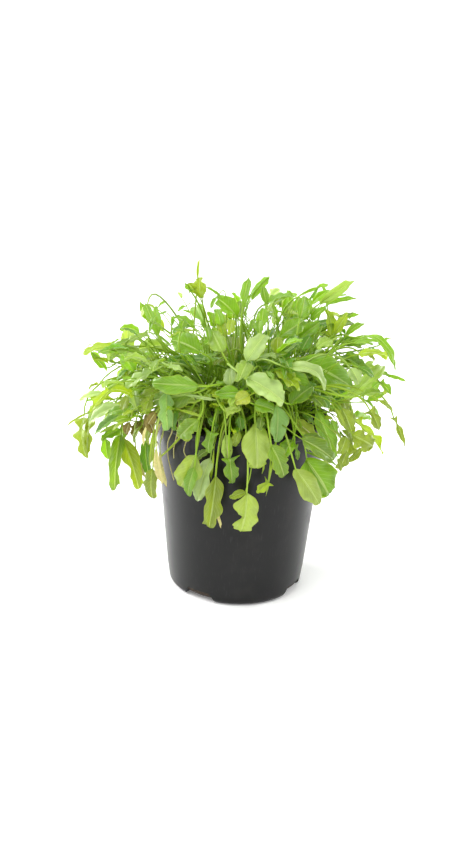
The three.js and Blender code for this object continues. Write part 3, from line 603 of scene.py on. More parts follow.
# %% Leaves at the top left
LEAVES += [
    ("strap", -80, 162, -93, 193, 9, 0.96, "fresh"),
    ("egg", -79, 161, -82, 190, 8, 0.94, "fresh"),
    ("strap", -90, 192, -96, 178, 5, 0.96, "pale"),
    ("strap", -79, 190, -71, 195, 4, 0.98, "fresh"),
    ("strap", -66, 171, -64, 181, 4, 0.92, "fresh"),
    ("arrow", -57, 165, -53, 177, 11, 0.9, "fresh"),
    ("arrow", -34, 170, -36, 181, 8, 0.88, "fresh"),
    ("strap", -43, 181, -56, 186, 3, 0.93, "fresh"),
    ("arrow", -47, 205, -53, 213, 7, 0.97, "fresh"),
    ("oval", -36, 198, -38, 219, 15, 0.98, "lime"),
    ("strap", -40, 217, -38, 238, 3, 0.98, "lime"),
    ("oval", -1, 179, -22, 199, 18, 0.92, "fresh"),
    ("egg", 1, 184, -6, 203, 13, 0.93, "fresh"),
    ("strap", -15, 198, -33, 210, 4, 0.96, "fresh"),
    ("egg", -17, 170, -22, 187, 10, 0.9, "fresh"),
]
print(len(LEAVES), "leaves so far")

# %% Leaves at the top
LEAVES += [
    ("strap", 5, 189, 11, 219, 9, 0.97, "fresh"),
    ("strap", 13, 202, 32, 220, 8, 0.97, "fresh"),
    ("egg", 28, 192, 25, 209, 8, 0.94, "fresh"),
    ("egg", 30, 193, 56, 200, 15, 0.92, "fresh"),
    ("arrow", 39, 174, 34, 193, 10, 0.86, "fresh"),
    ("egg", 47, 178, 50, 206, 14, 0.92, "fresh"),
    ("egg", 62, 178, 67, 200, 14, 0.9, "fresh"),
    ("egg", 24, 170, 26, 188, 11, 0.88, "fresh"),
    ("strap", 61, 200, 83, 209, 4, 0.97, "fresh"),
    ("egg", 60, 161, 45, 178, 18, 0.84, "fresh"),
    ("egg", 62, 159, 82, 174, 14, 0.84, "fresh"),
    ("strap", 82, 193, 117, 216, 10, 0.98, "soft"),
    ("strap", 88, 191, 119, 198, 6, 0.95, "fresh"),
    ("strap", 89, 188, 83, 212, 5, 0.93, "fresh"),
    ("egg", 93, 161, 89, 187, 11, 0.9, "lime"),
    ("egg", 97, 162, 110, 183, 10, 0.96, "lime"),
    ("arrow", 111, 179, 121, 182, 6, 0.98, "fresh"),
    ("egg", 94, 156, 79, 148, 12, 0.86, "soft"),
    ("egg", 39, 142, 40, 159, 11, 0.72, "lime"),
    ("egg", 9, 135, 28, 161, 17, 0.76, "pale"),
]
print(len(LEAVES), "leaves so far")

# %% Leaves on the right
LEAVES += [
    ("strap", 106, 159, 127, 173, 8, 0.96, "fresh"),
    ("strap", 114, 156, 157, 125, 8, 1, "fresh", 0.48),
    ("arrow", 141, 151, 154, 158, 7, 0.99, "fresh"),
    ("cut", 121, 144, 137, 136, 9, 0.96, "olive"),
    ("strap", 148, 121, 169, 114, 4, 1, "fresh"),
    ("strap", 107, 98, 147, 131, 13, 0.94, "soft", 0.2),
    ("arrow", 142, 114, 153, 101, 13, 0.98, "fresh"),
    ("spear", 132, 86, 141, 66, 13, 0.96, "olive"),
    ("strap", 140, 96, 155, 85, 5, 0.98, "olive"),
    ("spear", 156, 78, 167, 49, 9, 1, "olive"),
    ("egg", 124, 100, 143, 104, 10, 0.9, "moss"),
    ("egg", 112, 128, 121, 112, 12, 0.88, "pale"),
    ("egg", 96, 112, 118, 100, 12, 0.84, "fresh"),
    ("egg", 97, 92, 106, 72, 9, 0.8, "fresh"),
]
print(len(LEAVES), "living leaves are seen")

# %% Dry leaves
DRY_LEAVES = [
    ("strap", -103, 47, -92, 17, 6, 0.74, "straw"),
    ("egg", -108, 74, -112, 62, 8, 0.72, "brown"),
    ("egg", -96, 78, -90, 57, 11, 0.66, "brown"),
    ("strap", -23, -12, -17, -32, 3, HANG, "straw"),
    ("egg", -12, 62, -10, 34, 10, HANG, "soft"),
    ("oval", 56, 76, 79, 56, 13, 0.56, "olive"),
    ("strap", -82, 47, -75, 12, 7, 0.72, "straw"),
    ("egg", -82, 84, -90, 72, 9, 0.66, "brown"),
]
print(len(DRY_LEAVES), "dry leaves are seen")

# %% Leaf outlines
# Each outline is the (along, across) of the edge points, and how far along the midrib the point
# beside each is. Along is a share of the blade's length, and across a share of half its width.
OUTLINES = {
    "spear": (
        [(0, 0.09), (-0.06, 1), (0.17, 0.42), (0.46, 0.8), (0.76, 0.52)],
        [0, 0.07, 0.2, 0.46, 0.76],
    ),
    "oval": ([(0, 0.1), (0.1, 0.58), (0.3, 0.96), (0.58, 1), (0.84, 0.6)], [0, 0.12, 0.32, 0.58, 0.84]),
    "wavy": (
        [(0, 0.1), (0.12, 0.72), (0.28, 0.95), (0.44, 0.8), (0.62, 1), (0.86, 0.6)],
        [0, 0.12, 0.28, 0.44, 0.62, 0.86],
    ),
    "cut": (
        [(0, 0.1), (0.08, 0.9), (0.27, 0.46), (0.46, 1), (0.62, 0.5), (0.8, 0.64)],
        [0, 0.1, 0.27, 0.46, 0.62, 0.8],
    ),
    "strap": ([(0, 0.3), (0.34, 0.94), (0.76, 0.86)], [0, 0.34, 0.76]),
    "egg": ([(0, 0.1), (0.16, 0.78), (0.5, 1), (0.82, 0.62)], [0, 0.16, 0.5, 0.82]),
    "arrow": ([(0, 0.09), (-0.06, 1), (0.17, 0.42), (0.6, 0.74)], [0, 0.07, 0.2, 0.6]),
}
print(len(OUTLINES), "kinds of leaf:", ", ".join(OUTLINES))

# %% [markdown]
# ## Where the leaves stand
#
# The leaves grow from crowns that are set out like the seeds of a sunflower: each one turns on by the
# golden angle, and its distance grows with the square root of its number. The seen leaves stand where
# a line of sight meets their dome, and the rest of the bush, behind and inside, is placed by rule from
# repeatable draws.


# %% Repeatable draws
def draw(a, b, c):
    """The same number from 0 to 1 each time for the same three whole numbers."""
    value = math.sin(a * 12.9898 + b * 78.233 + c * 37.719) * 43758.5453
    return value - math.floor(value)


print("a few draws:", [round(draw(k, 0, 0), 2) for k in range(1, 6)])

# %% Crowns
CROWN_COUNT, CROWN_SPREAD, CROWN_START = 34, 62, 0.6
GOLDEN = math.radians(137.50776)
DRY_CROWNS = (20, 31)


def crown_spot(k):
    radius = CROWN_SPREAD * math.sqrt((k + CROWN_START) / CROWN_COUNT)
    x, y = radius * math.cos(k * GOLDEN), radius * math.sin(k * GOLDEN)
    return Vector((x, y, soil_height(x, y)))


crown_spots = [crown_spot(k) for k in range(CROWN_COUNT)]
print(len(crown_spots), "crowns,", len(DRY_CROWNS), "of them dry")

# %% Lines of sight
DOME_CENTRE, DOME_ACROSS, DOME_UP = 178, 166, 146


def sight_line(right, up):
    """The direction from the eye to a point that is seen so far right and up."""
    x = right * math.cos(EYE_LEAN) - up * math.sin(EYE_LEAN)
    y = right * math.sin(EYE_LEAN) + up * math.cos(EYE_LEAN)
    return (eye_right * x + eye_up * y - eye_back * EYE_DISTANCE).normalized()


def meet(way, centre, across, up, end=-1):
    """The distance to the near (-1) or far (1) side of a dome, or of a drum where up is 0."""
    scale = Vector((1 / across, 1 / across, 1 / up if up else 0))
    start = (eye_at - Vector((0, 0, centre))) * scale
    step = way * scale
    a, b, c = step.dot(step), start.dot(step), start.dot(start) - 1
    return (-b + end * math.sqrt(max(0, b * b - a * c))) / a


def outwards(point, size):
    """A level step of a given size, straight away from the pot's axis."""
    return Vector((point.x, point.y, 0)).normalized() * size


to_dome = meet(sight_line(0, 0), DOME_CENTRE, DOME_ACROSS, DOME_UP)
print("the line of sight through the aim point meets the dome after", round(to_dome), "mm")

# %% A leaf's own form
ROLL_SPREAD = 50


def leaf_form(kind, base, tip, width, face, index, attempt, tone, bow):
    """The blade's own directions and its small differences."""
    along = (tip - base).normalized()
    flat = (face - along * face.dot(along)).normalized()
    roll = math.radians(ROLL_SPREAD * (draw(index, attempt, 12) - 0.5))
    normal = Matrix.Rotation(roll, 3, along) @ flat
    return {
        "kind": kind, "base": base, "tip": tip, "half": width / 2, "tone": tone, "index": index,
        "attempt": attempt, "along": along, "normal": normal, "side": along.cross(normal),
        "length": (tip - base).length, "bow": bow if bow else 0.04 + 0.1 * draw(index, attempt, 13),
        "fold": 0.1 + 0.35 * draw(index, attempt, 14), "wave": 0.05 + 0.13 * draw(index, attempt, 15),
        "phase": 6.28 * draw(index, attempt, 16),
    }


# %% A leaf that is seen
HANG_CLEAR, NUDGE, NUDGES, MOST_LEAN = 6, 2.5, 9, 0.45
FAR_EDGE, FAR_UP, FAR_SHARE = 0.72, 110, 0.5
OUTLINE_MIDDLE, OUTLINE_HALF = 60, DOME_UP + 20
DEEPER, DEEPER_AT_EDGE = 0.12, 0.4


def seen_leaf(row, index, attempt):
    """A blade at one try: each later try slides it a little along the line of sight."""
    kind, r0, u0, r1, u1, width, place, tone = row[:8]
    step = attempt % (2 * NUDGES + 1)
    nudge = NUDGE * math.ceil(step / 2) * (-1 if step % 2 else 1)
    edge = min(1, math.hypot(r1 / DOME_ACROSS, (u1 - OUTLINE_MIDDLE) / OUTLINE_HALF))
    deeper = 1 - (DEEPER + DEEPER_AT_EDGE * edge * edge) * draw(index, attempt, 20)
    end = 1 if edge > FAR_EDGE and u0 > FAR_UP and draw(index, 0, 21) < FAR_SHARE else -1
    ways = [sight_line(r0, u0), sight_line(r1, u1)]
    if place == HANG:
        first, last = (meet(way, 0, RIM_RADIUS + HANG_CLEAR + abs(nudge), 0) for way in ways)
    else:
        dome = (DOME_CENTRE, DOME_ACROSS * place * deeper, DOME_UP * place * deeper, end)
        first, last = (meet(way, *dome) + nudge for way in ways)
    most = MOST_LEAN * math.hypot(r1 - r0, u1 - u0) / 2
    lean = min(most, max(-most, (last - first) / 2))
    base = eye_at + ways[0] * ((first + last) / 2 - lean)
    tip = eye_at + ways[1] * ((first + last) / 2 + lean)
    face = eye_back * 0.8 + Vector((0, 0, 0.5)) + outwards(base, 0.3)
    bow = row[8] if len(row) > 8 else None
    return leaf_form(kind, base, tip, width, face, index, attempt, tone, bow)


# %% A leaf that is placed by rule
BACK_MIDDLE, BACK_SPREAD = 90, 230
FILL_LOWEST, FILL_HIGHER, FILL_INNER, FILL_OUTER = -0.45, 1.05, 0.6, 0.38
STRAP_LENGTH, STRAP_WIDTH, FILL_SHORTEST, FILL_LONGER = 40, 0.2, 34, 18
FILL_SLIM, FILL_WIDER, FILL_SWAY = 0.36, 0.14, 0.7


def placed_leaf(index, attempt):
    """A leaf of the bush's back and inside, drawn afresh at each try."""
    kind = ("arrow", "egg", "egg", "arrow", "strap")[math.floor(draw(index, attempt, 2) * 5)]
    angle = math.radians(BACK_MIDDLE + (draw(index, attempt, 3) - 0.5) * BACK_SPREAD)
    rise = math.asin(FILL_LOWEST + FILL_HIGHER * draw(index, attempt, 4))
    share = FILL_INNER + FILL_OUTER * draw(index, attempt, 5)
    length = STRAP_LENGTH if kind == "strap" else FILL_SHORTEST + FILL_LONGER * draw(index, attempt, 6)
    across, up = DOME_ACROSS * share * math.cos(rise), DOME_UP * share * math.sin(rise)
    tip = Vector((across * math.cos(angle), across * math.sin(angle), DOME_CENTRE + up))
    way = outwards(tip, 0.8) + Vector((0, 0, math.sin(rise) - 0.35))
    way.x += FILL_SWAY * (draw(index, attempt, 7) - 0.5)
    way.y += FILL_SWAY * (draw(index, attempt, 8) - 0.5)
    base = tip - way.normalized() * length
    slim = FILL_SLIM + FILL_WIDER * draw(index, attempt, 9)
    width = length * (STRAP_WIDTH if kind == "strap" else slim)
    face = outwards(base, 0.55) + Vector((0, 0, 0.85))
    tones = ("fresh", "fresh", "lime", "deep", "olive")
    tone = tones[index % len(tones)]
    return leaf_form(kind, base, tip, width, face, index, attempt, tone, None)


# %% [markdown]
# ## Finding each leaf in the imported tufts
#
# The CAD model gave each leaf the first of its tries that was clear of everything else. Which try that
# was, and which crown the leaf joined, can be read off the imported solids: the two corners of the
# blade's tip, half its thickness above and below, are corners of the tuft's mesh. So every try is
# held against a tree of all those corners, and the one that fits them both is the leaf's own.

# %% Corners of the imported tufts
CLOSE, BLADE_THICK = 0.08, 0.7


def crown_node(k):
    return ("dry_tuft_" if k in DRY_CROWNS else "tuft_") + f"{k + 1:02d}"


corners = [(k, v.co / MM) for k in range(CROWN_COUNT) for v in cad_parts[crown_node(k)].data.vertices]
corner_tree = kdtree.KDTree(len(corners))
for number, (_, place) in enumerate(corners):
    corner_tree.insert(place, number)
corner_tree.balance()
print(len(corners), "packed corners from", crown_node(0), "to", crown_node(CROWN_COUNT - 1))


# %% The try that fits
def fit_of(leaf):
    """How far a leaf's two tip corners are from packed ones, and the crown of those."""
    misses, crowns = [], []
    for sign in (1, -1):
        _, number, away = corner_tree.find(leaf["tip"] + leaf["normal"] * (sign * BLADE_THICK / 2))
        misses.append(away)
        crowns.append(corners[number][0])
    return (max(misses), crowns[0]) if crowns[0] == crowns[1] else (math.inf, None)


def found(makes):
    """The best fitting of several tries, with its crown, or None if none fits."""
    best, least = None, CLOSE
    for leaf in makes:
        miss, crown = fit_of(leaf)
        if miss < least:
            best, least = {**leaf, "crown": crown}, miss
    return best


# %% Find the leaves
FILL_COUNT, SEEN_TRIES, FILL_TRIES = 19, 95, 60
leaves, lost = [], []
for index, row in enumerate(LEAVES + DRY_LEAVES):
    leaf = found(seen_leaf(row, index, attempt) for attempt in range(SEEN_TRIES))
    leaves.append(leaf)
    if leaf is None:
        lost.append(index)
first_placed = len(LEAVES) + len(DRY_LEAVES)
for index in range(first_placed, first_placed + FILL_COUNT):
    leaves.append(found(placed_leaf(index, attempt) for attempt in range(FILL_TRIES)))
leaves = [leaf for leaf in leaves if leaf]
print(len(leaves), "leaves found, rows without one:", lost)

# %% [markdown]
# ## A fine leaf
#
# The CAD blade has only a few corners on each side. Here smooth curves run through the same corners,
# for the left edge, the midrib and the right edge, and the surface between them swells a little on
# each side of the midrib, as a real leaf does. The stalk is a round tube along the same curve, and it
# runs on under the blade as its midrib, thinner and thinner. Both keep two numbers for each point: how
# far along the blade and how far across it is. The leaf's material draws its veins from them.

# %% Smooth curves
def smooth_through(stations, samples):
    """A smooth curve through stations, with so many points to each step between two of them."""
    stations = np.asarray(stations)
    padded = np.vstack([2 * stations[0] - stations[1], stations, 2 * stations[-1] - stations[-2]])
    out = []
    for a, b, c, d in zip(padded, padded[1:], padded[2:], padded[3:]):
        for t in np.arange(samples) / samples:
            out.append(0.5 * (2 * b + (c - a) * t + (2 * a - 5 * b + 4 * c - d) * t**2
                              + (3 * b - a - 3 * c + d) * t**3))
    return np.array(out + [stations[-1]])


print("a smooth step from 0 to 1:", smooth_through([[0], [0], [1], [1]], 3)[3:7, 0].round(2))

# %% The three curves of a blade
BLADE_SAMPLES, NEAR_TIP = 5, 0.6
EDGE_SHIFT, EDGE_SWAY = 0.02, 0.12


def blade(leaf):
    """The left edge, midrib and right edge of a leaf as smooth curves, and the share along."""
    base, along = np.array(leaf["base"]), np.array(leaf["along"])
    side, normal = np.array(leaf["side"]), np.array(leaf["normal"])
    half, length = leaf["half"], leaf["length"]

    def surface(u, w, ripple):
        arch = leaf["bow"] * length * 4 * u * (1 - u)
        lift = arch + leaf["fold"] * half * abs(w) + leaf["wave"] * half * ripple
        return base + along * (u * length) + side * (w * half) + normal * lift

    edge, mid = OUTLINES[leaf["kind"]]
    last_u, last_w = edge[-1]
    edge = edge + [(last_u + (1 - last_u) * NEAR_TIP, last_w * (1 - NEAR_TIP))]
    mid = mid + [mid[-1] + (1 - mid[-1]) * NEAR_TIP]
    left, middle, right = [], [], []
    for i, (u, w) in enumerate(edge):
        ripple, other = math.sin(leaf["phase"] + 2.1 * i), math.sin(leaf["phase"] + 2 + 2.3 * i)
        shift = EDGE_SHIFT * ripple if i else 0
        left.append(surface(u - shift, -w * (1 + EDGE_SWAY * other), ripple if i else 0))
        right.append(surface(u + shift, w * (1 - EDGE_SWAY * other), other if i else 0))
        middle.append(surface(mid[i], 0, 0))
    tip = surface(1, 0, 0)
    curves = [smooth_through(line + [tip], BLADE_SAMPLES) for line in (left, middle, right)]
    share = smooth_through([[u] for u in mid + [1]], BLADE_SAMPLES)[:, 0]
    return *curves, share


# %% Uneven and bitten edges
# A bite is its side, its place along the blade, its width and its depth. These few are seen in the
# picture, by the leaf's number, and leaf 4 is whole. The other leaves draw theirs by chance.
SEEN_BITES = {
    1: [(1, 0.58, 0.08, 0.85), (0, 0.98, 0.06, 0.4), (1, 0.98, 0.06, 0.4)],
    4: [],
    49: [(0, 0.64, 0.13, 0.7)],
    50: [(1, 0.6, 0.13, 0.7)],
}
SELDOM, OFTEN = 0.07, 0.2
TIP_FROM, TIP_SHARE = 0.84, 0.16


def reach(leaf, u, side):
    """How far the edge reaches at a share along: rounder at the tip, uneven and bitten."""
    share = min(0.95, max(0, (u - TIP_FROM) / TIP_SHARE))
    even = 1 if leaf["kind"] == "strap" else math.sqrt((1 + share) / (1 - share))
    uneven = 1 + 0.03 * math.sin(15 * u + leaf["phase"] * 3 + side)
    uneven += 0.015 * math.sin(37 * u + leaf["phase"] * 5)
    bites = [bite[1:] for bite in SEEN_BITES.get(leaf["index"], []) if bite[0] == side]
    for bite in range(0 if leaf["index"] in SEEN_BITES else 3):
        chance = draw(leaf["index"], bite, 41 + side)
        if chance < (SELDOM if leaf["kind"] in ("oval", "egg") else OFTEN):
            middle = 0.12 + 0.8 * draw(leaf["index"], bite, 44 + side)
            bites.append((middle, 0.03 + 0.2 * chance, 0.2 + 1.2 * chance))
    for middle, wide, deep in bites:
        uneven -= deep * math.exp(-(((u - middle) / wide) ** 2))
    return even * max(0.12, uneven)


# %% Blade surface
ACROSS, YOUNG_ACROSS = 6, 4
SWELL, PUCKER, PUCKERS, EDGE_WAVE = 0.2, 0.05, 9, 0.13


def fine_blade(leaf, sheet):
    """Adds a leaf's blade to a sheet of points, faces and (along, across) numbers."""
    left, middle, right, share = blade(leaf)
    normal = np.array(leaf["normal"])
    half = leaf["half"]
    first = len(sheet["points"])
    steps = YOUNG_ACROSS if leaf.get("young") else ACROSS
    width = 2 * steps + 1
    for row, u in enumerate(share):
        reaches = [reach(leaf, u, side) for side in (0, 1)]
        for column in range(width):
            t = column / steps - 1
            edge = left[row] if t < 0 else right[row]
            span = (edge - middle[row]) * reaches[int(t > 0)]
            swell = SWELL * np.linalg.norm(span) * math.sin(math.pi * abs(t))
            folds = math.sin(2 * math.pi * (PUCKERS * u - 3 * abs(t)))
            pucker = PUCKER * half * folds * math.sin(math.pi * min(1, abs(t) * 1.1))
            wave = EDGE_WAVE * half * t * t * math.sin(19 * u + leaf["phase"] + 2 * t)
            sheet["points"].append(middle[row] + span * abs(t) + normal * (swell + pucker + wave))
            sheet["numbers"].append((0.5 + 0.5 * t, u))
            sheet["tones"].append(leaf["colour"])
    for row in range(len(share) - 1):
        for column in range(width - 1):
            a = first + row * width + column
            sheet["faces"].append((a, a + 1, a + 1 + width, a + width))
            sheet["slots"].append(0)


# %% Stalk curve
STALK_POINTS = 15
CROWN_PROUD, ROOT_SUNK, ROOT_OUT = 4, 2.5, 1.2
SWING, LIFT_OUT, LIFT_UP, LIFT_MORE, LEAD_BACK = 0.16, 0.12, 0.32, 0.2, 0.28
RIM_INSIDE, RIM_CLEAR, YOUNG_CLEAR, RIM_CREST, RIM_OUTSIDE = 10, 44, 16, 14, 12


def bezier(p, q, r, s, t):
    u = 1 - t
    return p * u**3 + q * (3 * u * u * t) + r * (3 * u * t * t) + s * t**3


def stalk_curve(leaf):
    """The curve of a stalk, from its crown to its blade."""
    base, index, attempt = leaf["base"], leaf["index"], leaf["attempt"]
    root = crown_spots[leaf["crown"]].copy()
    run = (base - root).length
    swing = SWING * run
    root.z += CROWN_PROUD - ROOT_SUNK
    root += outwards(base - root, ROOT_OUT)
    lift = root + outwards(base - root, LIFT_OUT * run)
    lift.x += swing * (draw(index, attempt, 10) - 0.5)
    lift.y += swing * (draw(index, attempt, 11) - 0.5)
    lift.z += (LIFT_UP + LIFT_MORE * draw(index, attempt, 19)) * run
    lead = base - leaf["along"] * (LEAD_BACK * run)
    if math.hypot(base.x, base.y) > RIM_RADIUS - RIM_INSIDE:
        clear = POT_HEIGHT + (YOUNG_CLEAR if leaf.get("young") else RIM_CLEAR)
        lift.z, lead.z = max(lift.z, clear + RIM_CREST), max(lead.z, clear)
        away = math.hypot(lead.x, lead.y)
        least = min(math.hypot(base.x, base.y), RIM_RADIUS + RIM_OUTSIDE)
        if away < least:
            lead += outwards(lead, least - away)
    return [bezier(root, lift, lead, base, t) for t in np.linspace(0, 1, STALK_POINTS)]


print("the first leaf's stalk is", STALK_POINTS, "points from", [round(v) for v in stalk_curve(leaves[0])[0]])

# %% Round tubes
STALK_SIDES = 7


def tube(centres, radii, sheet, numbers, tone, slot):
    """Adds a round tube through centres, closed at both ends, to a sheet."""
    first = len(sheet["points"])
    side = Vector((1, 0, 0))
    for k, centre in enumerate(centres):
        way = (centres[min(k + 1, len(centres) - 1)] - centres[max(k - 1, 0)]).normalized()
        side = (side - way * side.dot(way)).normalized()
        other = way.cross(side)
        for corner in range(STALK_SIDES):
            a = 2 * math.pi * corner / STALK_SIDES
            spot = centre + (side * math.cos(a) + other * math.sin(a)) * radii[k]
            sheet["points"].append(np.array(spot))
            sheet["numbers"].append((corner / STALK_SIDES, numbers[k]))
            sheet["tones"].append(tone)
    rings = len(centres)
    for k in range(rings - 1):
        for corner in range(STALK_SIDES):
            a = first + k * STALK_SIDES + corner
            b = first + k * STALK_SIDES + (corner + 1) % STALK_SIDES
            sheet["faces"].append((a, b, b + STALK_SIDES, a + STALK_SIDES))
            sheet["slots"].append(slot)
    last = first + (rings - 1) * STALK_SIDES
    sheet["faces"].append([first + corner for corner in reversed(range(STALK_SIDES))])
    sheet["faces"].append([last + corner for corner in range(STALK_SIDES)])
    sheet["slots"] += [slot, slot]


# %% Stalk and midrib
STALK_ROOT_RADIUS, STALK_TIP_RADIUS, YOUNG_SLIM = 1.2, 0.8, 0.55
RIB_SLIM, RIB_LEAST, RIB_END, RIB_SUNK = 0.8, 0.12, 0.9, 0.55


def fine_stalk(leaf, sheet):
    """Adds a leaf's stalk, which runs on under the blade as its midrib."""
    _, middle, _, share = blade(leaf)
    centres = stalk_curve(leaf)
    slim = YOUNG_SLIM if leaf.get("young") else 1
    stalk_radii = slim * np.linspace(STALK_ROOT_RADIUS, STALK_TIP_RADIUS, len(centres))
    inner = [k for k in range(2, len(share)) if share[k] < RIB_END]
    rib_radii = [slim * STALK_TIP_RADIUS * RIB_SLIM * (1 - share[k]) for k in inner]
    rib_radii = np.maximum(RIB_LEAST, rib_radii)
    rib = [Vector(middle[k]) - leaf["normal"] * (RIB_SUNK * r) for k, r in zip(inner, rib_radii)]
    radii = list(stalk_radii[:-1]) + list(rib_radii)
    numbers = list(np.linspace(0, 0.9, len(centres) - 1)) + [1.0] * len(inner)
    tube(centres[:-1] + rib, radii, sheet, numbers, leaf["colour"], 1)


# %% [markdown]
# ## Leaf colour
#
# Sorrel in soft light is a bright yellow-green. Some tones are lighter and darker copies of that green:
# the paler, bluer ones paint the sheen of leaves that face the light, a lighter one paints light on
# leaves that lie in shade, and a darker one paints the shade deep in the bush. Old leaves go olive and
# yellow. Each leaf has one of these tones, a little lighter or darker than the next. The material adds
# the rest: a pale midrib and side veins, mottling that also paints soft patches of light and shade, and
# a yellowing edge. A blade is thin, so a part of the light comes through it, which a Translucent shader
# gives.

# %% Leaf tones
# pale and blue paint the sheen of leaves that face the light, soft paints light on leaves that lie in shade,
# and deep paints the shade deep in the bush. Leaves placed by rule get them by number, as mere changes of
# tone. The other tones are the leaves' own colours.
TONES = {
    "soft": (0.28, 0.425, 0.065), "bright": (0.42, 0.56, 0.09), "moss": (0.16, 0.28, 0.01),
    "fresh": (0.19, 0.375, 0.008), "lime": (0.30, 0.42, 0.012), "pale": (0.42, 0.57, 0.20),
    "blue": (0.25, 0.45, 0.11), "deep": (0.11, 0.27, 0.006), "olive": (0.24, 0.325, 0.015),
    "yellow": (0.50, 0.57, 0.06), "straw": (0.60, 0.55, 0.24), "brown": (0.23, 0.185, 0.03),
}
TONE_CHANGE = 0.34


def leaf_colour(leaf):
    """A leaf's tone, lighter or darker by up to half of TONE_CHANGE."""
    change = 1 + TONE_CHANGE * (draw(leaf["index"], 1, 31) - 0.5)
    return [min(1, c * change) for c in TONES[leaf["tone"]]] + [1]


print(len(TONES), "tones; the first leaf is", [round(v, 2) for v in leaf_colour(leaves[0])])


# %% A leaf's numbers in its material
def tone_of(tree):
    return add(tree, "Attribute", {}, attribute_name="tone").outputs["Color"]


def along_and_across(tree):
    """Outputs for how far along the blade a point is, and how far from the midrib, both 0 to 1."""
    split = add(tree, "SeparateXYZ", {0: add(tree, "UVMap", {}, uv_map="leaf").outputs[0]})
    from_middle = sums(tree, "ABSOLUTE", sums(tree, "MULTIPLY_ADD", split.outputs["X"], 2, -1))
    return split.outputs["Y"], from_middle


# %% Veins
SIDE_VEINS, VEIN_SLANT, VEIN_WOBBLE, VEIN_FAINT = 9, 0.33, 0.8, 0.27
leaf_skin, tree, shader = new_material("leaf blade")
along, from_middle = along_and_across(tree)
rise = sums(tree, "MULTIPLY", along, SIDE_VEINS)
slant = sums(tree, "MULTIPLY_ADD", from_middle, -VEIN_SLANT * SIDE_VEINS, rise)
wobble = speckle(tree, 160, 2)
slant = sums(tree, "ADD", slant, sums(tree, "MULTIPLY", wobble, VEIN_WOBBLE))
from_vein = sums(tree, "ABSOLUTE", sums(tree, "SUBTRACT", sums(tree, "FRACT", slant), 0.5))
side_veins = sums(tree, "MULTIPLY", ramp(tree, from_vein, 0.1, 0.02), ramp(tree, from_middle, 1.0, 0.75))
midrib = ramp(tree, from_middle, 0.12, 0.04)
veins = sums(tree, "MAXIMUM", sums(tree, "MULTIPLY", side_veins, VEIN_FAINT), midrib)
print("veins:", len(tree.nodes), "nodes")

# %% Blade colour
YELLOW_EDGE, VEIN_PALE, DRY_SPOT = (0.40, 0.48, 0.04), (0.66, 0.78, 0.30), (0.22, 0.16, 0.03)
# The mottle is partly the blade's own blotching and partly painted soft patches of light and shade.
mottle_and_painted_light = speckle(tree, 110, 5)
light_and_dark = blend(tree, mottle_and_painted_light, (0.5, 0.58, 0.35), (1.35, 1.3, 1.4))
colour = blend(tree, 0.65, tone_of(tree), light_and_dark, "MULTIPLY")
margin = sums(tree, "MULTIPLY", ramp(tree, from_middle, 0.86, 1.0), 0.5)
colour = blend(tree, margin, colour, YELLOW_EDGE)
colour = blend(tree, sums(tree, "MULTIPLY", veins, 0.55), colour, VEIN_PALE)
spots = ramp(tree, speckle(tree, 300, 1), 0.76, 0.8)
colour = blend(tree, sums(tree, "MULTIPLY", spots, 0.6), colour, DRY_SPOT)
tree.links.new(colour, shader.inputs["Base Color"])
print("blade colour:", len(tree.nodes), "nodes")

# %% Blade gloss and glow
LIGHT_THROUGH = 0.36
tree.links.new(sums(tree, "MULTIPLY_ADD", mottle_and_painted_light, 0.2, 0.29), shader.inputs["Roughness"])
shader.inputs["Specular IOR Level"].default_value = 0.65
cells = speckle(tree, 1400, 2)
height = sums(tree, "MULTIPLY_ADD", cells, 0.25, sums(tree, "MULTIPLY", veins, -0.4))
dent(tree, shader, height, 0.00025)
glow_colour = blend(tree, 1.0, colour, (1.4, 1.38, 0.75), "MULTIPLY")
glow = add(tree, "BsdfTranslucent", {"Color": glow_colour})
both = add(tree, "MixShader", {0: LIGHT_THROUGH, 1: shader.outputs[0], 2: glow.outputs[0]})
tree.links.new(both.outputs[0], tree.nodes["Material Output"].inputs["Surface"])
print("leaf blade:", len(tree.nodes), "nodes")

# %% Stalk material
stalk_skin, tree, shader = new_material("leaf stalk")
split = add(tree, "SeparateXYZ", {0: add(tree, "UVMap", {}, uv_map="leaf").outputs[0]})
streaks = speckle(tree, 700, 2, (1, 1, 0.1))
pale_stalk = blend(tree, split.outputs["Y"], (0.22, 0.34, 0.02), (0.27, 0.45, 0.015))
colour = blend(tree, 0.4, pale_stalk, tone_of(tree))
colour = blend(tree, sums(tree, "MULTIPLY", streaks, 0.5), colour, (0.20, 0.31, 0.015))
tree.links.new(colour, shader.inputs["Base Color"])
shader.inputs["Roughness"].default_value = 0.42
shader.inputs["Specular IOR Level"].default_value = 0.3
dent(tree, shader, streaks, 0.0001)
print("leaf stalk:", len(tree.nodes), "nodes")

# %% [markdown]
# ## Small leaves
#
# Between the large leaves a tuft has many small ones with thin stalks. Those that are seen apart are
# written down in the same way as the large ones. Each one grows from the crown that is nearest to the
# point half-way in from its stalk end, and the dead ones grow from the dry crowns.

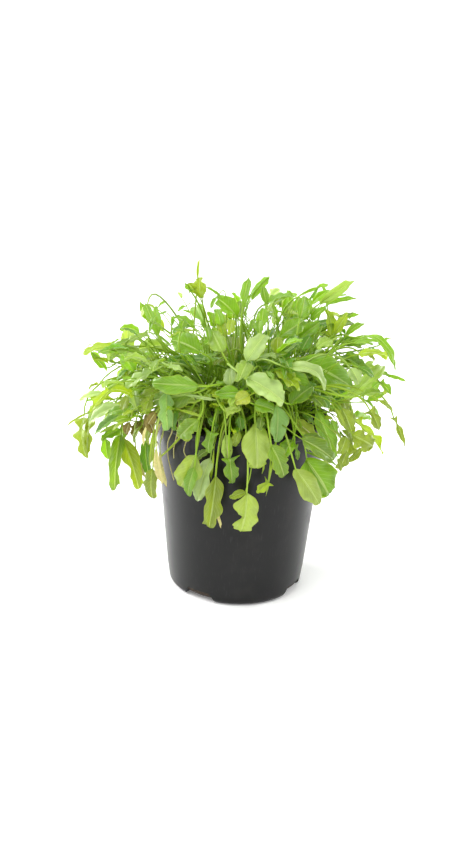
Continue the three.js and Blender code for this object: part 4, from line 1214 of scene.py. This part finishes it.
# %% Small leaves at the top right
SMALL_LEAVES = [
    ("egg", 33, 196, 42, 207, 13, 0.9, "pale"),
    ("strap", 71, 196, 81, 209, 3, 0.94, "deep"),
    ("strap", 74, 192, 92, 206, 9, 0.95, "fresh"),
    ("egg", 66, 176, 72, 198, 12, 0.9, "fresh"),
    ("egg", 55, 186, 62, 199, 9, 0.9, "fresh"),
    ("egg", 50, 170, 62, 190, 15, 0.86, "fresh"),
    ("oval", 42, 160, 66, 176, 15, 0.82, "fresh"),
    ("egg", 22, 176, 22, 162, 9, 0.8, "fresh"),
    ("strap", 12, 164, 16, 178, 5, 0.84, "fresh"),
    ("egg", 46, 146, 60, 160, 12, 0.78, "deep"),
    ("egg", 64, 146, 72, 160, 12, 0.8, "deep"),
    ("egg", 52, 150, 40, 134, 10, 0.74, "deep"),
    ("strap", 40, 138, 62, 156, 3, 0.82, "pale"),
    ("strap", 46, 178, 56, 196, 2, 0.9, "pale"),
    ("egg", 80, 150, 94, 155, 11, 0.86, "fresh"),
    ("strap", 104, 153, 134, 157, 5, 0.95, "fresh"),
    ("egg", 106, 141, 121, 128, 15, 0.88, "fresh"),
    ("strap", 120, 129, 136, 119, 7, 0.92, "deep"),
    ("strap", 88, 196, 112, 201, 4, 0.95, "fresh"),
    ("strap", 8, 181, 15, 203, 5, 0.95, "fresh"),
    ("strap", 14, 197, 32, 219, 8, 0.97, "fresh"),
    ("egg", 73, 176, 88, 189, 9, 0.92, "fresh"),
    ("strap", 79, 209, 91, 211, 5, 0.96, "fresh"),
    ("strap", 116, 153, 143, 153, 6, 0.97, "fresh"),
    ("strap", 141, 153, 158, 126, 6, 0.98, "fresh"),
    ("egg", 134, 108, 141, 113, 7, 0.94, "fresh"),
    ("egg", 140, 124, 152, 119, 6, 0.97, "fresh"),
]
print(len(SMALL_LEAVES), "leaves so far")

# %% Small leaves low on the right
SMALL_LEAVES += [
    ("strap", 68, 44, 100, 30, 5, 0.76, "fresh"),
    ("strap", 97, 88, 107, 68, 5, 0.8, "olive"),
    ("egg", 111, 34, 124, 48, 7, 0.8, "olive"),
    ("egg", 132, 106, 139, 94, 8, 0.94, "olive"),
    ("wavy", 104, 88, 114, 64, 13, 0.8, "olive"),
    ("egg", 108, 60, 101, 42, 12, 0.78, "olive"),
    ("oval", 64, 57, 96, 36, 16, 0.76, "moss"),
    ("egg", 100, 38, 103, 25, 5, 0.78, "olive"),
    ("strap", 94, 66, 104, 57, 3, 0.8, "olive"),
    ("strap", 80, 97, 98, 96, 4, 0.78, "pale"),
    ("egg", 90, 88, 82, 100, 10, 0.74, "deep"),
    ("egg", 93, 76, 98, 62, 8, 0.76, "fresh"),
]
print(len(SMALL_LEAVES), "leaves so far")

# %% Small leaves low in the middle
SMALL_LEAVES += [
    ("egg", 8, 4, -8, -2, 8, HANG, "lime"),
    ("strap", 33, 42, 28, 0, 2, HANG, "lime"),
    ("strap", 26, 46, 24, 22, 2, HANG, "lime"),
    ("egg", -41, 37, -28, 46, 9, HANG, "moss"),
    ("strap", -24, 46, -27, 16, 2.5, HANG, "lime"),
    ("egg", 1, 65, -4, 50, 8, HANG, "lime"),
    ("egg", 2, 80, 4, 66, 9, 0.6, "deep"),
    ("egg", 24, 80, 22, 66, 8, 0.62, "moss"),
    ("egg", -30, 78, -20, 68, 8, 0.56, "deep"),
    ("strap", -52, 101, -20, 96, 3, 0.78, "pale"),
    ("strap", -58, 86, -34, 78, 3, 0.7, "lime"),
]
print(len(SMALL_LEAVES), "leaves so far")

# %% Small leaves low on the left
SMALL_LEAVES += [
    ("wavy", -144, 80, -150, 40, 14, 0.96, "olive"),
    ("egg", -118, 77, -141, 64, 9, 0.86, "fresh"),
    ("egg", -128, 92, -151, 76, 8, 0.92, "pale"),
    ("egg", -112, 87, -130, 82, 9, 0.88, "fresh"),
    ("strap", -108, 76, -140, 62, 3, 0.88, "lime"),
    ("strap", -106, 78, -126, 65, 3, 0.86, "lime"),
    ("egg", -116, 110, -132, 103, 9, 0.92, "fresh"),
    ("egg", -110, 99, -116, 86, 9, 0.86, "olive"),
    ("egg", -88, 98, -93, 82, 11, 0.8, "olive"),
    ("egg", -96, 70, -104, 52, 7, 0.78, "olive"),
    ("strap", -84, 66, -88, 30, 4, 0.76, "olive"),
    ("egg", -60, 66, -48, 56, 10, 0.66, "lime"),
    ("egg", -82, 85, -92, 67, 12, 0.7, "brown"),
    ("egg", -90, 80, -83, 62, 10, 0.7, "brown"),
    ("egg", -98, 74, -106, 60, 9, 0.74, "brown"),
    ("strap", -90, 72, -94, 50, 4, 0.74, "straw"),
    ("strap", -78, 44, -71, 9, 5, 0.74, "straw"),
]
print(len(SMALL_LEAVES), "leaves so far")

# %% Small leaves at the top left
SMALL_LEAVES += [
    ("egg", -6, 177, -8, 161, 8, 0.85, "lime"),
    ("strap", -20, 200, -27, 187, 5, 0.93, "fresh"),
    ("egg", -52, 190, -60, 184, 5, 0.93, "fresh"),
    ("strap", -90, 176, -98, 195, 7, 0.95, "fresh"),
    ("strap", -86, 163, -65, 147, 3, 0.9, "fresh"),
    ("strap", -147, 144, -132, 127, 7, 0.97, "fresh"),
    ("egg", -18, 176, -13, 160, 9, 0.85, "lime"),
    ("strap", -88, 165, -81, 181, 7, 0.95, "fresh"),
    ("egg", -43, 205, -50, 213, 9, 0.97, "lime"),
    ("egg", -56, 198, -60, 204, 4, 0.96, "pale"),
    ("egg", -111, 164, -118, 167, 5, 0.95, "fresh"),
    ("egg", -31, 170, -28, 156, 7, 0.84, "fresh"),
]
print(len(SMALL_LEAVES), "small leaves are seen")

# %% Crowns of the small leaves
SMALL_FIRST, HALF_WAY = 1000, 0.5


def joined(leaf):
    """A small leaf with the crown that it grows from."""
    half = leaf["base"] * HALF_WAY
    dead = leaf["tone"] in ("brown", "straw")
    allowed = [k for k in range(CROWN_COUNT) if (k in DRY_CROWNS) == dead]
    crown = min(allowed, key=lambda k: math.hypot(crown_spots[k].x - half.x, crown_spots[k].y - half.y))
    return {**leaf, "crown": crown, "young": True}


small = [joined(seen_leaf(row, SMALL_FIRST + k, 0)) for k, row in enumerate(SMALL_LEAVES)]
print(len(small), "small leaves joined to", len({leaf["crown"] for leaf in small}), "crowns")

# %% [markdown]
# ## Young leaves
#
# The youngest leaves fill the bush. They are drawn by rule, so many to each crown, and they must keep
# its outline. So each one is tried at several places, and takes the first where it stands clear of the
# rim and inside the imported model's box, where a larger leaf or the closed middle of the bush is seen
# too, and where it hides no large blade. A few open spots low in the bush stay open.


# %% Where a point is seen
def seen_at(point):
    """How far right and up a point is seen."""
    way = point - eye_at
    scale = -EYE_DISTANCE / way.dot(eye_back)
    x, y = way.dot(eye_right) * scale, way.dot(eye_up) * scale
    return (x * math.cos(EYE_LEAN) + y * math.sin(EYE_LEAN), y * math.cos(EYE_LEAN) - x * math.sin(EYE_LEAN))


def spots_on(some_leaves):
    """Points along the midribs of leaves, each with the leaf's half width."""
    shares = (0.1, 0.3, 0.5, 0.7, 0.85)
    return [(leaf["base"].lerp(leaf["tip"], s), leaf["half"]) for leaf in some_leaves for s in shares]


LARGE_HALF = 7.5
cover = np.array([(*seen_at(spot), half) for spot, half in spots_on(leaves + small)])
large = [leaf for leaf in leaves if leaf["half"] >= LARGE_HALF]
blades = np.array([(*seen_at(spot), half, (spot - eye_at).length) for spot, half in spots_on(large)])
print(len(large), "large blades, seen at", len(blades), "spots")

# %% Tests in the picture
BODY_MIDDLE, BODY_HALF = (4, 106), (100, 46)
OPEN_SPOTS = [(72, 70, 15), (-12, 76, 9), (-34, 70, 8), (-88, 76, 12)]


def covered(point):
    """Whether a point is seen within the body of the bush or on one of the larger leaves."""
    right, up = seen_at(point)
    if any(math.hypot(right - x, up - y) < size for x, y, size in OPEN_SPOTS):
        return False
    if math.hypot((right - BODY_MIDDLE[0]) / BODY_HALF[0], (up - BODY_MIDDLE[1]) / BODY_HALF[1]) < 1:
        return True
    return bool((np.hypot(cover[:, 0] - right, cover[:, 1] - up) < cover[:, 2]).any())


def hides_a_blade(point):
    """Whether a point is seen in front of one of the large blades."""
    right, up = seen_at(point)
    near = np.hypot(blades[:, 0] - right, blades[:, 1] - up) < blades[:, 2]
    return bool((near & (blades[:, 3] > (point - eye_at).length)).any())


# %% Tests in space
FRONT_CLEAR, BESIDE_RIM, BELOW_RIM, ABOVE_RIM = 35, 9, 60, 6


def in_the_box(point):
    """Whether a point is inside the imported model's box."""
    return all(low < v * MM < high for low, v, high in zip(cad_box[0], point, cad_box[1]))


def off_the_pot(point):
    """Whether a point is above the rim, or beside and behind it and not far below."""
    outside_rim = math.hypot(point.x, point.y) > RIM_RADIUS + BESIDE_RIM and point.y > -FRONT_CLEAR
    return point.z > (POT_HEIGHT - BELOW_RIM if outside_rim else POT_HEIGHT + ABOVE_RIM)


# %% A young leaf
YOUNG_FIELD, YOUNG_SHORTEST, YOUNG_LONGER = 100, 14, 20
YOUNG_TURN, YOUNG_RISE, YOUNG_DROOP, YOUNG_SAG = 2.6, 0.9, 1.8, 0.004
YOUNG_TONES = ("fresh", "soft", "deep", "lime", "fresh", "moss")


def young_leaf(crown, index, attempt):
    """A small leaf that leans out from its crown."""
    kind = ("strap", "egg", "arrow", "oval", "egg")[math.floor(draw(index, attempt, 2) * 5)]
    spot = crown_spots[crown]
    angle = math.atan2(spot.y, spot.x) + YOUNG_TURN * (draw(index, attempt, 3) - 0.5)
    height = YOUNG_FIELD * draw(index, attempt, 4)
    away = YOUNG_FIELD * draw(index, attempt, 5)
    base = spot + Vector((away * math.cos(angle), away * math.sin(angle), height))
    droop = YOUNG_RISE - YOUNG_DROOP * draw(index, attempt, 6) - YOUNG_SAG * away
    way = Vector((math.cos(angle), math.sin(angle), droop)).normalized()
    length = YOUNG_SHORTEST + YOUNG_LONGER * draw(index, attempt, 7)
    width = length * (0.25 if kind == "strap" else 0.46)
    face = outwards(way, -0.6 * droop) + Vector((0, 0, 0.9)) + eye_back * 0.4
    tone = YOUNG_TONES[math.floor(draw(index, attempt, 8) * len(YOUNG_TONES))]
    leaf = leaf_form(kind, base, base + way * length, width, face, index, attempt, tone, None)
    return {**leaf, "crown": crown, "young": True}


def stands_well(leaf):
    """Whether a young leaf passes all the tests."""
    base, middle, tip = (leaf["base"].lerp(leaf["tip"], share) for share in (0, 0.5, 1))
    edges = [middle + leaf["side"] * (sign * leaf["half"]) for sign in (1, -1)]
    if not all(off_the_pot(p) and in_the_box(p) for p in (base, middle, tip)):
        return False
    return all(covered(p) for p in (*edges, tip)) and not any(hides_a_blade(p) for p in (base, middle, tip))


# %% Grow the young leaves
YOUNG_EACH, YOUNG_TRIES, YOUNG_FIRST = 17, 90, 2000
young = []
for crown in range(CROWN_COUNT):
    for number in range(0 if crown in DRY_CROWNS else YOUNG_EACH):
        index = YOUNG_FIRST + crown * YOUNG_EACH + number
        tries = (young_leaf(crown, index, attempt) for attempt in range(YOUNG_TRIES))
        leaf = next((leaf for leaf in tries if stands_well(leaf)), None)
        if leaf:
            young.append(leaf)
leaves += small + young
print(len(young), "young leaves,", len(leaves), "leaves in all")

# %% [markdown]
# ## Dead stalks
#
# Thin dead stalks hang over the rim at the front left. Each strand is a row of places where it is seen
# just outside the pot's wall, with how thick it is and its tone. From its first place it runs back over
# the rim to the crown of the dead leaves.

# %% Dead stalks
STRANDS = [
    (1.3, "lime", [(-56, 62), (-64, 52), (-71, 45), (-79, 38)]),
    (0.8, "straw", [(-70, 76), (-76, 73), (-81, 68), (-84, 60)]),
    (0.7, "straw", [(-78, 70), (-82, 58), (-80, 52), (-83, 50)]),
    (0.7, "straw", [(-74, 70), (-75, 61), (-77, 56)]),
    (0.6, "straw", [(-66, 64), (-70, 54), (-70, 40), (-67, 27), (-64, 16)]),
    (0.6, "straw", [(-61, 62), (-64, 48), (-64, 38)]),
    (0.6, "straw", [(-50, 60), (-54, 46), (-51, 38)]),
    (0.9, "lime", [(-80, 82), (-92, 76), (-104, 75), (-112, 80)]),
]
STRAND_CLEAR, STRAND_INSIDE, STRAND_STEPS, STRAND_RISE = 3, 2, 6, 9
STRAND_FOOT, STRAND_TIP = 1.2, 0.7


def strand_curve(places):
    """The curve of a dead stalk from its crown, over the rim and down outside the wall."""
    seen = []
    for right, up in places:
        way = sight_line(right, up)
        seen.append(eye_at + way * meet(way, 0, RIM_RADIUS + STRAND_CLEAR, 0))
    root = crown_spots[DRY_CROWNS[0]] + Vector((0, 0, CROWN_PROUD - ROOT_SUNK))
    over = outwards(seen[0], RIM_RADIUS - STRAND_INSIDE)
    over.z = max(POT_HEIGHT, seen[0].z) + STRAND_RISE
    middle = root.lerp(over, 0.5) + Vector((0, 0, STRAND_RISE))
    return [Vector(p) for p in smooth_through([root, middle, over] + seen, STRAND_STEPS)]


print(len(STRANDS), "dead stalks")

# %% [markdown]
# ## The tufts
#
# All leaves of a crown become one piece, with the crown's short knob in the soil, and stand for that
# crown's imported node. Dead leaves are crumpled and brown, so their two crowns get a material of their
# own.

# %% Dry leaf material
dry_skin, tree, shader = new_material("dry leaf")
along, from_middle = along_and_across(tree)
crumple = speckle(tree, 260, 5)
light_and_dark = blend(tree, crumple, (0.4, 0.38, 0.28), (1.3, 1.28, 1.05))
colour = blend(tree, 0.7, tone_of(tree), light_and_dark, "MULTIPLY")
colour = blend(tree, ramp(tree, crumple, 0.55, 0.75), colour, (0.13, 0.09, 0.02))
colour = blend(tree, ramp(tree, from_middle, 0.1, 0.03), colour, (0.6, 0.55, 0.3))
tree.links.new(colour, shader.inputs["Base Color"])
shader.inputs["Roughness"].default_value = 0.75
dent(tree, shader, crumple, 0.0012)
print("dry leaf:", len(tree.nodes), "nodes")

# %% Crown knob
CROWN_RADIUS, CROWN_DEEP = 2.6, 7
KNOB_COLOUR = (0.3, 0.26, 0.12, 1)


def crown_knob(spot, sheet):
    """Adds the pale knob at the foot of a tuft, in its hole in the soil."""
    heights = (-CROWN_DEEP + GAP, -3, 0, CROWN_PROUD * 0.7, CROWN_PROUD)
    radii = [CROWN_RADIUS * 0.9, CROWN_RADIUS, CROWN_RADIUS, CROWN_RADIUS * 0.8, CROWN_RADIUS * 0.3]
    centres = [spot + Vector((0, 0, z)) for z in heights]
    tube(centres, radii, sheet, [0] * len(heights), KNOB_COLOUR, 1)


# %% One tuft
def tuft_sheet(crown):
    """The points and faces of all that grows from a crown."""
    sheet = {"points": [], "faces": [], "slots": [], "numbers": [], "tones": []}
    crown_knob(crown_spots[crown], sheet)
    for leaf in leaves:
        if leaf["crown"] == crown:
            leaf["colour"] = leaf_colour(leaf)
            fine_blade(leaf, sheet)
            fine_stalk(leaf, sheet)
    if crown == DRY_CROWNS[0]:
        for radius, tone, places in STRANDS:
            curve = strand_curve(places)
            radii = np.linspace(radius * STRAND_FOOT, radius * STRAND_TIP, len(curve))
            tube(curve, radii, sheet, [0.5] * len(curve), (*TONES[tone], 1), 0)
    return sheet


def tuft(crown):
    """The piece of a crown, with its tones and its leaf numbers stored in the mesh."""
    sheet = tuft_sheet(crown)
    dry = crown in DRY_CROWNS
    skins = [dry_skin if dry else leaf_skin, stalk_skin]
    node = crown_node(crown)
    slot = "dry_leaf" if dry else "leaf"
    piece = finished_piece(node + "_leaves", sheet["points"], sheet["faces"], skins, node=node, slot=slot)
    mesh = piece.data
    mesh.polygons.foreach_set("material_index", sheet["slots"])
    tones = mesh.color_attributes.new("tone", "FLOAT_COLOR", "POINT")
    tones.data.foreach_set("color", np.array(sheet["tones"]).ravel())
    corner_points = np.empty(len(mesh.loops), dtype=np.int32)
    mesh.loops.foreach_get("vertex_index", corner_points)
    numbers = mesh.uv_layers.new(name="leaf")
    numbers.data.foreach_set("uv", np.array(sheet["numbers"])[corner_points].ravel())
    return len(mesh.polygons)


# %% All tufts
faces_made = [tuft(crown) for crown in range(CROWN_COUNT)]
print(sum(faces_made), "faces in", len(faces_made), "tufts")
